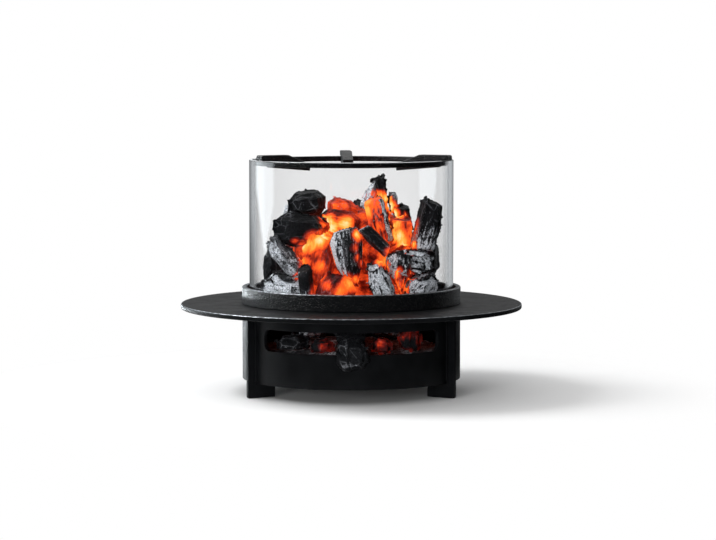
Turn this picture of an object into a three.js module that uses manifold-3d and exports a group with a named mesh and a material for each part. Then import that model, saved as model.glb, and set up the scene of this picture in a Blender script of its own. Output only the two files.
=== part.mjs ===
// A tabletop charcoal fire pit, in millimetres, +Z up, standing on z = 0 with its axis on the Z axis.
// A drum on three welded legs holds the ash pan. A fire grate hangs in the drum's mouth and carries
// the fire and the serving tray, and on the tray stand a cast collar, a glass cylinder and a
// three-armed pan rest, each lifting off the one below. The air slot in the front faces -Y.

import * as THREE from "three";
import { mergeVertices } from "three/addons/utils/BufferGeometryUtils.js";
import { ConvexGeometry } from "three/addons/geometries/ConvexGeometry.js";
import Module from "manifold-3d";

const wasm = await Module();
wasm.setup();

// General
const SEAT_GAP = 0.3; // between two pieces that lie against each other
const CUT_OVERRUN = 6; // how far a cutter runs past what it cuts
const ROUND_STEPS = 72; // sides of a large turned piece
const DEGREE = Math.PI / 180;
const FRONT_ANGLE = -90 * DEGREE; // direction of -Y, seen from above

// Legs: plates on edge, each with a foot under the drum
const LEG_COUNT = 3;
const LEG_THICKNESS = 4.8;
const LEG_REACH = 10.2; // how far a leg stands out of the drum
const FOOT_LENGTH = 35.5; // measured along the radius
const FOOT_HEIGHT = 16.7;
const LEG_CORNER = 1.5;

// Drum: rolled sheet with one air slot between the two front legs
const DRUM_RADIUS = 128;
const DRUM_WALL = 4;
const DRUM_HEIGHT = 78;
const SLOT_HALF_ANGLE = 51 * DEGREE;
const SLOT_HEIGHT = 25;
const SLOT_BELOW_RIM = 13.5; // from the drum's top edge down to the slot
const SLOT_CORNER = 9;
const SLOT_CORNER_STEPS = 5;
const SLOT_MIDDLE_STEPS = 20;

// Floor pan and the ash in it
const PAN_SHEET = 1.8;
const PAN_RIM_HEIGHT = 36;
const ASH_EDGE_DEPTH = 33.5;
const ASH_MOUND = 10; // how much higher the ash lies in the middle
const ASH_RIPPLE = 1.4;
const ASH_RING_SHARES = [1, 0.9, 0.75, 0.55, 0.3]; // of the ash's radius
const ASH_STEPS = 36;

// Fire grate: a shallow cast dish that hangs by its flange on the drum's rim
const GRATE_FLANGE_THICKNESS = 3.6;
const GRATE_FLANGE_INSET = 0.5; // inside the drum's outer face
const GRATE_DISH_CLEARANCE = 9; // between the dish's outside and the tray's bore
const GRATE_DISH_WALL = 3;
const GRATE_FLOOR_THICKNESS = 4;
const GRATE_DISH_DEPTH = 6.9; // from the flange's top down to the floor
const GRATE_SLOT_WIDTH = 8;
const GRATE_BAR_WIDTH = 9.5;
const GRATE_SLOT_MARGIN = 9; // from a slot's end to the dish's wall

// Serving tray
const TRAY_RADIUS = 200;
const TRAY_THICKNESS = 5.5;
const TRAY_EDGE = 1.6; // chamfer round both rims

// Collar: a cast ring that holds the glass, located in the tray's bore by a spigot
const COLLAR_HEIGHT = 19.4;
const COLLAR_WALL = 6;
const COLLAR_LEDGE = 3.5;
const COLLAR_LEDGE_MARGIN = 1.2; // how far the ledge reaches in past the gasket
const COLLAR_SPIGOT_WALL = 4.7;
const COLLAR_SPIGOT_DEPTH = 4.8;
const COLLAR_EDGE = 1.5;

// Glass and its gasket
const GLASS_INSET = 8.5; // the glass stands this far inside the drum's outer face
const GLASS_RADIUS = DRUM_RADIUS - GLASS_INSET;
const GLASS_WALL = 4.8;
const GLASS_HEIGHT = 162.3;
const GLASS_EDGE = 0.8; // ground edges
const GLASS_POCKET_CLEARANCE = 2.8; // between the glass and the collar's wall
const GASKET_THICKNESS = 1.5;
const GASKET_MARGIN = 1.2; // how far the gasket stands out past the glass, each side

// Pan rest: a hoop inside the glass, with three arms that hook over its rim
const HOOP_CLEARANCE = 1.2; // between the hoop and the glass
const HOOP_WALL = 3;
const HOOP_HEIGHT = 6.3;
const ARM_COUNT = 3;
const ARM_WIDTH = 12.6;
const ARM_TURN_ANGLE = 3.5 * DEGREE; // the rest stands a little turned from the legs
const ARM_OVERHANG = 7; // past the glass's outer face
const ARM_HEIGHT = 6.4; // above the glass's rim
const ARM_LENGTH = 66;
const ARM_SHOULDER_LENGTH = 36.5; // flat top, measured from the outer end
const ARM_TIP_DROP = 2.4; // the top of the tip lies this far below the rim
const ARM_TIP_DEPTH = 12; // the underside of the tip lies this far below the rim
const ARM_ROOT_DEPTH = 7.6; // the underside at the hoop lies this far below the rim
const ARM_TIP_FLAT = 6;
const ARM_EDGE = 1.4;

// Charcoal
const PILE_CLEARANCE = 1; // between the lumps and the collar's bore
const PILE_HEADROOM = 3; // between the highest lump and the pan rest's arms
const PILE_TOP_SHARE = 1.49; // the highest point of the pile's table
const DRUM_TOP_SHARE = 0.569; // the grate's underside in the table of what has dropped
const LUMP_GAP = 0.45; // between two lumps, measured at their ends
const LUMP_SIDE_COUNT = 7;
const LUMP_ROUGH_SHARE = 0.11;
const LUMP_SLANT_SHARE = 0.16; // how far a lump's ends are cut aslant

// Colours and finishes
const COLOURS = {
  blackSteel: { color: 0x17181a, roughness: 0.55, metalness: 0.6 },
  castIron: { color: 0x1c1e20, roughness: 0.8, metalness: 0.5 },
  glass: { color: 0xf2f6f7, roughness: 0.04, metalness: 0, transparent: true, opacity: 0.18 },
  gasket: { color: 0xc9c4b8, roughness: 0.95, metalness: 0 },
  charcoal: { color: 0x1b1b1e, roughness: 0.85, metalness: 0 },
  ashen: { color: 0x8d9094, roughness: 0.95, metalness: 0 },
  ember: { color: 0xff6a1c, roughness: 0.8, metalness: 0, emissive: 0xff4a10 },
  ash: { color: 0xb4b3b0, roughness: 1, metalness: 0 },
};

// Radii and heights that follow from the sizes above
const drumBore = DRUM_RADIUS - DRUM_WALL;
const legOuter = DRUM_RADIUS + LEG_REACH;
const drumBottom = FOOT_HEIGHT + SEAT_GAP;
const drumTop = drumBottom + DRUM_HEIGHT;
const slotTop = drumTop - SLOT_BELOW_RIM;
const slotBottom = slotTop - SLOT_HEIGHT;
const panRadius = drumBore - SEAT_GAP;
const panFloorTop = drumBottom + PAN_SHEET;
const ashRadius = panRadius - PAN_SHEET - SEAT_GAP;
const ashBottom = panFloorTop + SEAT_GAP;
const flangeBottom = drumTop + SEAT_GAP;
const flangeTop = flangeBottom + GRATE_FLANGE_THICKNESS;
const grateFloorTop = flangeTop - GRATE_DISH_DEPTH;
const grateFloorBottom = grateFloorTop - GRATE_FLOOR_THICKNESS;
const trayBottom = flangeTop + SEAT_GAP;
const trayTop = trayBottom + TRAY_THICKNESS;
const collarBottom = trayTop + SEAT_GAP;
const ledgeTop = collarBottom + COLLAR_LEDGE;
const collarTop = collarBottom + COLLAR_HEIGHT;
const pocketRadius = GLASS_RADIUS + GLASS_POCKET_CLEARANCE;
const collarRadius = pocketRadius + COLLAR_WALL;
const glassBore = GLASS_RADIUS - GLASS_WALL;
const gasketBore = glassBore - GASKET_MARGIN;
const collarBore = gasketBore - COLLAR_LEDGE_MARGIN;
const spigotRadius = collarBore + COLLAR_SPIGOT_WALL;
const trayBore = spigotRadius + SEAT_GAP;
const dishRadius = trayBore - GRATE_DISH_CLEARANCE;
const dishBore = dishRadius - GRATE_DISH_WALL;
const gasketBottom = ledgeTop + SEAT_GAP;
const glassBottom = gasketBottom + GASKET_THICKNESS + SEAT_GAP;
const glassTop = glassBottom + GLASS_HEIGHT;
const hoopRadius = glassBore - HOOP_CLEARANCE;
const hoopBore = hoopRadius - HOOP_WALL;
const armOuter = GLASS_RADIUS + ARM_OVERHANG;
const pileRadius = collarBore - PILE_CLEARANCE;
const pileBottom = grateFloorTop + SEAT_GAP;
const pileTop = glassTop - ARM_TIP_DEPTH - PILE_HEADROOM;

// Solids and booleans

function solid(geometry) {
  const bare = new THREE.BufferGeometry();
  bare.setAttribute("position", geometry.getAttribute("position"));
  bare.setIndex(geometry.index);
  const merged = mergeVertices(bare);
  const vertProperties = new Float32Array(merged.getAttribute("position").array);
  const triVerts = new Uint32Array(merged.index.array);
  return new wasm.Manifold(new wasm.Mesh({ numProp: 3, vertProperties, triVerts }));
}

function geometryOf(manifold) {
  const mesh = manifold.getMesh();
  const geometry = new THREE.BufferGeometry();
  geometry.setAttribute("position", new THREE.BufferAttribute(mesh.vertProperties, 3));
  geometry.setIndex(new THREE.BufferAttribute(mesh.triVerts, 1));
  return geometry;
}

function largestBody(manifold) {
  const bodies = manifold.decompose();
  return bodies.reduce((a, b) => (b.volume() > a.volume() ? b : a));
}

// A geometry turned round the Z axis from a closed outline of [radius, height] points, anticlockwise.
function turned(outline, steps = ROUND_STEPS) {
  const profile = outline.map(([radius, height]) => new THREE.Vector2(radius, height));
  profile.push(profile[0].clone());
  const geometry = new THREE.LatheGeometry(profile, steps);
  geometry.rotateX(90 * DEGREE);
  return geometry;
}

function ring(bore, radius, bottom, height) {
  return turned([
    [bore, bottom],
    [radius, bottom],
    [radius, bottom + height],
    [bore, bottom + height],
  ]);
}

// A flat outline of [radius, height] points as an upright plate along +X, centred on y = 0.
function uprightPlate(outline, thickness) {
  const shape = new THREE.Shape(outline.map(([x, z]) => new THREE.Vector2(x, z)));
  const geometry = new THREE.ExtrudeGeometry(shape, { depth: thickness, bevelEnabled: false });
  geometry.translate(0, 0, -thickness / 2);
  geometry.rotateX(90 * DEGREE);
  return geometry;
}

const firePit = new THREE.Group();

function addPiece(name, geometry, colour) {
  const mesh = new THREE.Mesh(geometry, new THREE.MeshStandardMaterial(COLOURS[colour]));
  mesh.name = name;
  firePit.add(mesh);
  return mesh;
}

// Drum

// The slot's outline as columns of [angle, rise], where rise is how far a rounded corner lifts the
// slot's lower edge and lowers its upper edge there. shrink draws the outline in all round.
function slotColumns(shrink) {
  const corner = SLOT_CORNER - shrink;
  const cornerAngle = corner / DRUM_RADIUS;
  const halfAngle = SLOT_HALF_ANGLE - shrink / DRUM_RADIUS;
  const middle = halfAngle - cornerAngle;
  const end = [];
  for (let i = 0; i <= SLOT_CORNER_STEPS; i += 1) {
    const turn = (i / SLOT_CORNER_STEPS) * 90 * DEGREE;
    end.push([middle + cornerAngle * Math.cos(turn), corner * (1 - Math.sin(turn))]);
  }
  const straight = [];
  for (let i = 1; i < SLOT_MIDDLE_STEPS; i += 1) {
    straight.push([middle - (2 * middle * i) / SLOT_MIDDLE_STEPS, 0]);
  }
  const otherEnd = end.map(([angle, rise]) => [-angle, rise]).reverse();
  return [...end, ...straight, ...otherEnd].reverse();
}

// A closed block through the drum's wall with the slot's outline, centred on +X.
function slotCutter(innerRadius, outerRadius, shrink) {
  const columns = slotColumns(shrink);
  const positions = [];
  for (const [angle, rise] of columns) {
    const low = slotBottom + shrink + rise;
    const high = slotTop - shrink - rise;
    const corners = [
      [innerRadius, low],
      [outerRadius, low],
      [outerRadius, high],
      [innerRadius, high],
    ];
    for (const [radius, height] of corners) {
      positions.push(radius * Math.cos(angle), radius * Math.sin(angle), height);
    }
  }
  const index = [];
  const quad = (a, b, c, d) => index.push(a, b, c, a, c, d);
  for (let column = 0; column < columns.length - 1; column += 1) {
    const near = column * 4;
    for (let k = 0; k < 4; k += 1) {
      const next = (k + 1) % 4;
      quad(near + k, near + 4 + k, near + 4 + next, near + next);
    }
  }
  const last = (columns.length - 1) * 4;
  quad(0, 1, 2, 3);
  quad(last + 3, last + 2, last + 1, last);
  const geometry = new THREE.BufferGeometry();
  geometry.setAttribute("position", new THREE.Float32BufferAttribute(positions, 3));
  geometry.setIndex(index);
  return geometry;
}

// The drum's wall with its slot. gap swells the wall all round, for cutting what lies against it.
function drumWall(gap) {
  const inner = drumBore - gap;
  const outer = DRUM_RADIUS + gap;
  const blank = ring(inner, outer, drumBottom - gap, DRUM_HEIGHT + 2 * gap);
  const cutter = slotCutter(inner - CUT_OVERRUN, outer + CUT_OVERRUN, gap);
  cutter.rotateZ(FRONT_ANGLE);
  return solid(blank).subtract(solid(cutter));
}

// Legs

function legGeometry() {
  const footInner = legOuter - FOOT_LENGTH;
  const upright = DRUM_RADIUS + SEAT_GAP;
  const top = trayBottom - SEAT_GAP;
  return uprightPlate(
    [
      [footInner, 0],
      [legOuter - LEG_CORNER, 0],
      [legOuter, LEG_CORNER],
      [legOuter, top - LEG_CORNER],
      [legOuter - LEG_CORNER, top],
      [upright, top],
      [upright, FOOT_HEIGHT],
      [footInner, FOOT_HEIGHT],
    ],
    LEG_THICKNESS,
  );
}

function addBase() {
  addPiece("drum_shell", geometryOf(drumWall(0)), "blackSteel");
  ["right", "rear", "left"].forEach((side, i) => {
    const leg = addPiece(`leg_${side}`, legGeometry(), "blackSteel");
    leg.rotation.z = FRONT_ANGLE + ((i + 0.5) / LEG_COUNT) * 360 * DEGREE;
  });
}

// Floor pan and ash

// gap swells the pan, for cutting what lies against it.
function panGeometry(gap) {
  const rim = drumBottom + PAN_RIM_HEIGHT + gap;
  const inner = panRadius - PAN_SHEET - gap;
  return turned([
    [0, drumBottom - gap],
    [panRadius + gap, drumBottom - gap],
    [panRadius + gap, rim],
    [inner, rim],
    [inner, panFloorTop + gap],
    [0, panFloorTop + gap],
  ]);
}

// A mound of ash that fills the pan, with a rippled top. gap swells it outwards and upwards.
function ashGeometry(gap) {
  const edge = ashBottom + ASH_EDGE_DEPTH + gap;
  const radius = ashRadius + gap;
  const slope = ASH_RING_SHARES.map((share) => [
    radius * share,
    edge + ASH_MOUND * (1 - share * share),
  ]);
  const outline = [[0, ashBottom], [radius, ashBottom], ...slope, [0, edge + ASH_MOUND]];
  const geometry = turned(outline, ASH_STEPS);
  const position = geometry.getAttribute("position");
  for (let i = 0; i < position.count; i += 1) {
    const x = position.getX(i);
    const y = position.getY(i);
    const share = Math.hypot(x, y) / radius;
    const turn = Math.atan2(y, x);
    const wave = Math.sin(9 * share + 3 * turn) + Math.sin(7 * share - 5 * turn);
    const onTop = position.getZ(i) > edge - SEAT_GAP;
    if (onTop) {
      position.setZ(i, position.getZ(i) + ASH_RIPPLE * share * wave);
    }
  }
  return geometry;
}

// Fire grate

function grateGeometry() {
  const flangeRadius = DRUM_RADIUS - GRATE_FLANGE_INSET;
  let grate = solid(
    turned([
      [0, grateFloorBottom],
      [dishRadius, grateFloorBottom],
      [dishRadius, flangeBottom],
      [flangeRadius, flangeBottom],
      [flangeRadius, flangeTop],
      [dishBore, flangeTop],
      [dishBore, grateFloorTop],
      [0, grateFloorTop],
    ]),
  );
  const pitch = GRATE_SLOT_WIDTH + GRATE_BAR_WIDTH;
  const reach = dishBore - GRATE_SLOT_MARGIN;
  const rows = Math.floor((reach - GRATE_SLOT_WIDTH) / pitch);
  const depth = GRATE_FLOOR_THICKNESS + 2 * CUT_OVERRUN;
  for (let row = -rows; row <= rows; row += 1) {
    const offset = row * pitch;
    const farEdge = Math.abs(offset) + GRATE_SLOT_WIDTH / 2;
    const length = 2 * Math.sqrt(reach * reach - farEdge * farEdge);
    const slot = new THREE.BoxGeometry(length, GRATE_SLOT_WIDTH, depth);
    slot.translate(0, offset, (grateFloorTop + grateFloorBottom) / 2);
    grate = grate.subtract(solid(slot));
  }
  return geometryOf(grate);
}

// Tray, collar, gasket and glass

function trayGeometry() {
  return turned([
    [trayBore, trayBottom],
    [TRAY_RADIUS - TRAY_EDGE, trayBottom],
    [TRAY_RADIUS, trayBottom + TRAY_EDGE],
    [TRAY_RADIUS, trayTop - TRAY_EDGE],
    [TRAY_RADIUS - TRAY_EDGE, trayTop],
    [trayBore, trayTop],
  ]);
}

function collarGeometry() {
  return turned([
    [collarBore, collarBottom - COLLAR_SPIGOT_DEPTH],
    [spigotRadius, collarBottom - COLLAR_SPIGOT_DEPTH],
    [spigotRadius, collarBottom],
    [collarRadius, collarBottom],
    [collarRadius, collarTop - COLLAR_EDGE],
    [collarRadius - COLLAR_EDGE, collarTop],
    [pocketRadius + COLLAR_EDGE, collarTop],
    [pocketRadius, collarTop - COLLAR_EDGE],
    [pocketRadius, ledgeTop],
    [collarBore, ledgeTop],
  ]);
}

function glassGeometry() {
  return turned([
    [glassBore, glassBottom + GLASS_EDGE],
    [glassBore + GLASS_EDGE, glassBottom],
    [GLASS_RADIUS - GLASS_EDGE, glassBottom],
    [GLASS_RADIUS, glassBottom + GLASS_EDGE],
    [GLASS_RADIUS, glassTop - GLASS_EDGE],
    [GLASS_RADIUS - GLASS_EDGE, glassTop],
    [glassBore + GLASS_EDGE, glassTop],
    [glassBore, glassTop - GLASS_EDGE],
  ]);
}

function addTrayAndGlass() {
  const gasketRadius = GLASS_RADIUS + GASKET_MARGIN;
  addPiece("tray_plate", trayGeometry(), "blackSteel");
  addPiece("glass_collar", collarGeometry(), "castIron");
  const gasket = ring(gasketBore, gasketRadius, gasketBottom, GASKET_THICKNESS);
  addPiece("glass_gasket", gasket, "gasket");
  addPiece("glass_cylinder", glassGeometry(), "glass");
}

// Pan rest

function armGeometry() {
  const inner = armOuter - ARM_LENGTH;
  const shoulder = armOuter - ARM_SHOULDER_LENGTH;
  const seat = glassTop + SEAT_GAP;
  const top = seat + ARM_HEIGHT;
  const root = hoopBore - SEAT_GAP;
  return uprightPlate(
    [
      [inner, glassTop - ARM_TIP_DEPTH],
      [root, glassTop - ARM_ROOT_DEPTH],
      [root, seat],
      [armOuter, seat],
      [armOuter, top - ARM_EDGE],
      [armOuter - ARM_EDGE, top],
      [shoulder, top],
      [inner + ARM_TIP_FLAT, glassTop - ARM_TIP_DROP],
      [inner, glassTop - ARM_TIP_DROP],
    ],
    ARM_WIDTH,
  );
}

function addPanRest() {
  const hoop = ring(hoopBore, hoopRadius, glassTop - HOOP_HEIGHT, HOOP_HEIGHT);
  addPiece("trivet_ring", hoop, "castIron");
  ["right", "rear", "left"].forEach((side, i) => {
    const arm = addPiece(`trivet_arm_${side}`, armGeometry(), "castIron");
    arm.rotation.z = FRONT_ANGLE + ARM_TURN_ANGLE + ((i + 0.5) / ARM_COUNT) * 360 * DEGREE;
  });
}

// Charcoal

// A number from -1 to 1 that is always the same for the same seed and count.
function jitter(seed, count) {
  const wave = 43758 * Math.sin(12.9898 * seed + 78.233 * count);
  return (wave - Math.floor(wave)) * 2 - 1;
}

// Heights and widths along a lump's length, from its lower end at -1 to its upper end at 1.
const LUMP_RING_SHARES = {
  log: [[-1, 0.8], [-0.86, 0.97], [0.82, 1], [1, 0.8]],
  block: [[-1, 0.64], [-0.55, 0.98], [0.45, 1], [1, 0.6]],
  shard: [[-1, 0.8], [-0.7, 1], [0.1, 0.84], [1, 0.3]],
  root: [[-1, 0.36], [-0.2, 0.82], [0.6, 1], [1, 0.72]],
};

// The corners of a broken lump, in a box from -1 to 1.
function lumpCorners(form, seed) {
  const corners = [];
  LUMP_RING_SHARES[form].forEach(([height, width], level) => {
    for (let side = 0; side < LUMP_SIDE_COUNT; side += 1) {
      const count = level * LUMP_SIDE_COUNT + side;
      const turn = ((side + 0.3 * jitter(seed, side)) / LUMP_SIDE_COUNT) * 360 * DEGREE + seed;
      const rough = (jitter(seed, side + 50) + jitter(seed, count + 100)) / 2;
      const spread = width * (1 + LUMP_ROUGH_SHARE * rough);
      const x = spread * Math.cos(turn);
      const y = spread * Math.sin(turn);
      const slant = LUMP_SLANT_SHARE * (x * jitter(seed, 200) + y * jitter(seed, 201));
      corners.push(new THREE.Vector3(x, y, height * (1 + slant - LUMP_SLANT_SHARE / 2)));
    }
  });
  return corners;
}

// A lump's solid. Its place and half sizes are shares of the space's radius, and heights are then
// stretched to the space. gap swells the lump, for cutting the next ones.
function lumpSolid(lump, space, gap) {
  const [, form, place, halves, turns, seed] = lump;
  const half = new THREE.Vector3(...halves).multiplyScalar(space.radius).addScalar(gap);
  const turn = new THREE.Euler(...turns.map((angle) => angle * DEGREE));
  const centre = new THREE.Vector3(...place).multiplyScalar(space.radius);
  const corners = lumpCorners(form, seed).map((corner) => {
    const at = corner.multiply(half).applyEuler(turn).add(centre);
    at.z = space.bottom + at.z * space.stretch;
    return at;
  });
  return solid(new ConvexGeometry(corners));
}

// Each lump is cut to its space and by the lumps before it, so that they lie on each other.
function addLumps(lumps, space, obstacles) {
  const cutters = [...obstacles];
  for (const lump of lumps) {
    let body = lumpSolid(lump, space, 0).intersect(space.room);
    for (const cutter of cutters) {
      body = body.subtract(cutter);
    }
    const [name, , , , , , colour] = lump;
    addPiece(name, geometryOf(largestBody(body)), colour);
    cutters.push(lumpSolid(lump, space, LUMP_GAP));
  }
}

// The burning pile on the grate: name, form, place, half sizes, turns about X, Y and Z in degrees,
// seed, colour. Places and half sizes are shares of the pile's radius, and heights count from the
// grate's floor. The lumps that show in front come first and keep their whole shape.
const PILE_SHARES = [
  ["coal_centre_log", "root", [-0.04, -0.68, 0.63], [0.2, 0.14, 0.34], [6, -8, 0], 3, "ashen"],
  ["coal_front_ash", "block", [0.32, -0.77, 0.3], [0.16, 0.14, 0.32], [10, -20, 0], 11, "ashen"],
  ["coal_bent_branch", "log", [0.24, -0.69, 0.83], [0.095, 0.1, 0.2], [10, -46, 0], 5, "charcoal"],
  ["coal_glowing_slab", "log", [0.28, -0.44, 1.0], [0.13, 0.1, 0.27], [6, -14, 0], 8, "ember"],
  ["coal_right_upright", "log", [0.79, -0.27, 0.93], [0.16, 0.16, 0.31], [4, 14, 0], 14, "charcoal"],
  ["coal_right_ash", "block", [0.61, -0.54, 0.6], [0.24, 0.18, 0.15], [0, 10, 12], 17, "ashen"],
  ["coal_right_low", "block", [0.7, -0.48, 0.25], [0.25, 0.19, 0.23], [0, -6, 30], 21, "ashen"],
  ["coal_left_top", "block", [-0.46, -0.17, 1.17], [0.23, 0.2, 0.16], [0, -4, 15], 23, "charcoal"],
  ["coal_left_big", "block", [-0.52, -0.38, 0.91], [0.33, 0.26, 0.2], [0, 5, 10], 26, "charcoal"],
  ["coal_left_leaning", "log", [-0.68, -0.52, 0.65], [0.14, 0.14, 0.25], [0, -38, 0], 31, "ashen"],
  ["coal_left_ash", "block", [-0.7, -0.44, 0.25], [0.31, 0.22, 0.25], [0, 8, -30], 33, "ashen"],
  ["coal_left_log", "log", [-0.45, -0.75, 0.27], [0.1, 0.1, 0.3], [4, -6, 0], 36, "charcoal"],
  ["coal_peak_grey", "shard", [0.2, -0.1, 1.26], [0.11, 0.12, 0.2], [0, 18, 0], 38, "ashen"],
  ["coal_peak_black", "log", [0.31, -0.07, 1.22], [0.1, 0.12, 0.25], [0, -6, 0], 41, "charcoal"],
  ["coal_top_small", "block", [0.43, -0.06, 1.18], [0.09, 0.09, 0.12], [0, 0, 20], 44, "ashen"],
  ["coal_right_black", "log", [0.55, -0.16, 1.0], [0.12, 0.12, 0.18], [0, -12, 0], 47, "charcoal"],
  ["ember_left", "log", [-0.33, -0.52, 0.6], [0.21, 0.15, 0.3], [0, 12, 0], 50, "ember"],
  ["ember_middle", "block", [-0.1, -0.3, 0.96], [0.22, 0.18, 0.18], [0, 0, 0], 52, "ember"],
  ["ember_right", "log", [0.5, -0.38, 0.8], [0.15, 0.16, 0.26], [0, 6, 0], 55, "ember"],
  ["ember_front_low", "block", [-0.16, -0.78, 0.26], [0.24, 0.16, 0.24], [0, 14, 0], 58, "ember"],
  ["ember_right_low", "log", [0.46, -0.6, 0.36], [0.15, 0.15, 0.34], [0, 8, 0], 61, "ember"],
  ["coal_middle_top", "block", [-0.1, -0.02, 1.1], [0.2, 0.18, 0.14], [0, 8, 30], 63, "charcoal"],
  ["coal_back_top", "log", [0.12, 0.3, 0.93], [0.16, 0.17, 0.27], [-20, 10, 0], 66, "charcoal"],
  ["coal_back_left", "log", [-0.6, 0.3, 0.84], [0.22, 0.2, 0.33], [-14, 18, 0], 69, "ashen"],
  ["coal_back_middle", "log", [-0.16, 0.66, 0.76], [0.2, 0.18, 0.34], [16, -10, 0], 71, "charcoal"],
  ["coal_back_right", "log", [0.52, 0.52, 0.78], [0.2, 0.19, 0.36], [12, -14, 0], 74, "ashen"],
  ["coal_right_side", "block", [0.8, 0.14, 0.58], [0.17, 0.26, 0.24], [0, 0, 10], 77, "charcoal"],
  ["coal_left_side", "block", [-0.8, -0.02, 0.5], [0.18, 0.28, 0.26], [0, 0, 0], 80, "charcoal"],
  ["coal_low_back_left", "block", [-0.6, 0.5, 0.26], [0.28, 0.26, 0.27], [0, 0, 40], 83, "ashen"],
  ["coal_low_back", "block", [0.06, 0.74, 0.24], [0.3, 0.2, 0.25], [0, 0, 5], 86, "ashen"],
  ["coal_low_back_right", "block", [0.68, 0.46, 0.24], [0.26, 0.26, 0.25], [0, 0, 20], 89, "charcoal"],
  ["ember_core_left_low", "block", [-0.3, 0.02, 0.24], [0.4, 0.5, 0.3], [0, 0, 0], 91, "ember"],
  ["ember_core_left_high", "block", [-0.28, 0.04, 0.62], [0.4, 0.42, 0.32], [0, 0, 30], 92, "ember"],
  ["ember_core_right_low", "block", [0.32, 0.02, 0.24], [0.42, 0.5, 0.3], [0, 0, 25], 94, "ember"],
  ["ember_core_right_high", "block", [0.32, 0.04, 0.62], [0.4, 0.42, 0.32], [0, 0, 0], 95, "ember"],
  ["ember_core_top", "block", [0.1, 0.1, 0.86], [0.42, 0.38, 0.24], [0, 0, 0], 97, "ember"],
];

// Embers and cinders that have dropped into the drum, in shares of the ash's radius, with heights
// counted from the pan's floor. The first hangs out of the slot, over its lower edge.
const EMBER_SHARES = [
  ["coal_in_slot", "block", [0.02, -1.02, 0.33], [0.17, 0.15, 0.16], [0, 0, 0], 5, "charcoal"],
  ["fallen_ember_left", "block", [-0.28, -0.8, 0.37], [0.13, 0.12, 0.1], [0, 0, 10], 7, "ember"],
  ["fallen_ember_right", "block", [0.29, -0.78, 0.37], [0.12, 0.12, 0.1], [0, 0, 30], 10, "ember"],
  ["fallen_ember_side", "block", [0.55, -0.57, 0.4], [0.13, 0.12, 0.13], [0, 0, 0], 13, "ember"],
  ["cinder_left", "block", [-0.56, -0.55, 0.37], [0.19, 0.13, 0.11], [0, 0, 20], 16, "charcoal"],
  ["cinder_middle", "log", [0, -0.62, 0.42], [0.12, 0.12, 0.17], [0, 84, 0], 19, "charcoal"],
  ["cinder_back_left", "block", [-0.4, 0.1, 0.41], [0.18, 0.14, 0.12], [0, 0, 50], 22, "ashen"],
  ["cinder_back_right", "block", [0.36, 0.2, 0.41], [0.16, 0.18, 0.12], [0, 0, 0], 25, "ashen"],
];

// The space that the grate, the tray's bore, the collar and the glass leave for the fire.
function fireRoom() {
  const floorRadius = dishBore - SEAT_GAP;
  return solid(
    turned([
      [0, pileBottom],
      [floorRadius, pileBottom],
      [floorRadius, trayBottom],
      [pileRadius, trayBottom],
      [pileRadius, pileTop],
      [0, pileTop],
    ]),
  );
}

// The space above the pan and under the grate, and in front of the slot.
function drumRoom() {
  const bottom = panFloorTop + SEAT_GAP;
  return solid(ring(0, TRAY_RADIUS, bottom, grateFloorBottom - SEAT_GAP - bottom));
}

function addCharcoal() {
  const pileStretch = (pileTop - pileBottom) / (PILE_TOP_SHARE * pileRadius);
  addLumps(
    PILE_SHARES,
    { radius: pileRadius, bottom: pileBottom, stretch: pileStretch, room: fireRoom() },
    [],
  );
  const drumStretch = (grateFloorBottom - panFloorTop) / (DRUM_TOP_SHARE * ashRadius);
  addLumps(
    EMBER_SHARES,
    { radius: ashRadius, bottom: panFloorTop, stretch: drumStretch, room: drumRoom() },
    [drumWall(SEAT_GAP), solid(panGeometry(SEAT_GAP)), solid(ashGeometry(SEAT_GAP))],
  );
}

addBase();
addPiece("floor_pan", panGeometry(0), "blackSteel");
addPiece("ash_bed", ashGeometry(0), "ash");
addPiece("fire_grate", grateGeometry(), "castIron");
addTrayAndGlass();
addPanRest();
addCharcoal();

export default firePit;
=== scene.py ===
"""The looks of a tabletop charcoal fire pit, built round its packed frame.

Each operator models one piece, or a group of like pieces, in metres and in the frame's own place.
The drum's air slot faces -Y, and the key lamp stands on the left, at -X.
"""

import math
from collections import namedtuple
from contextlib import contextmanager

import bmesh
import bpy
import numpy as np
from mathutils import Matrix, Vector
from mathutils.bvhtree import BVHTree


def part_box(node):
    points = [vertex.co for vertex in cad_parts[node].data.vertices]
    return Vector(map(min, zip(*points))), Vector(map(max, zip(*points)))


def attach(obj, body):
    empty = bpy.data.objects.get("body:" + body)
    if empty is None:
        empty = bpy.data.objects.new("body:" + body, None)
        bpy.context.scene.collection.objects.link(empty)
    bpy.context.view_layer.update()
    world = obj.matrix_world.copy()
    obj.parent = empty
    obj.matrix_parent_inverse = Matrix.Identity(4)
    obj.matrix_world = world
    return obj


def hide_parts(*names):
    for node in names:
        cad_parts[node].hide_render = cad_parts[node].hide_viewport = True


bl_info = {
    "name": "Tabletop Fire Pit",
    "version": (1, 0, 0),
    "blender": (4, 5, 0),
    "location": "3D View > Sidebar > Fire Pit",
    "description": "Models the metalwork, glass and burning charcoal of a tabletop fire pit",
    "category": "Add Mesh",
}

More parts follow.
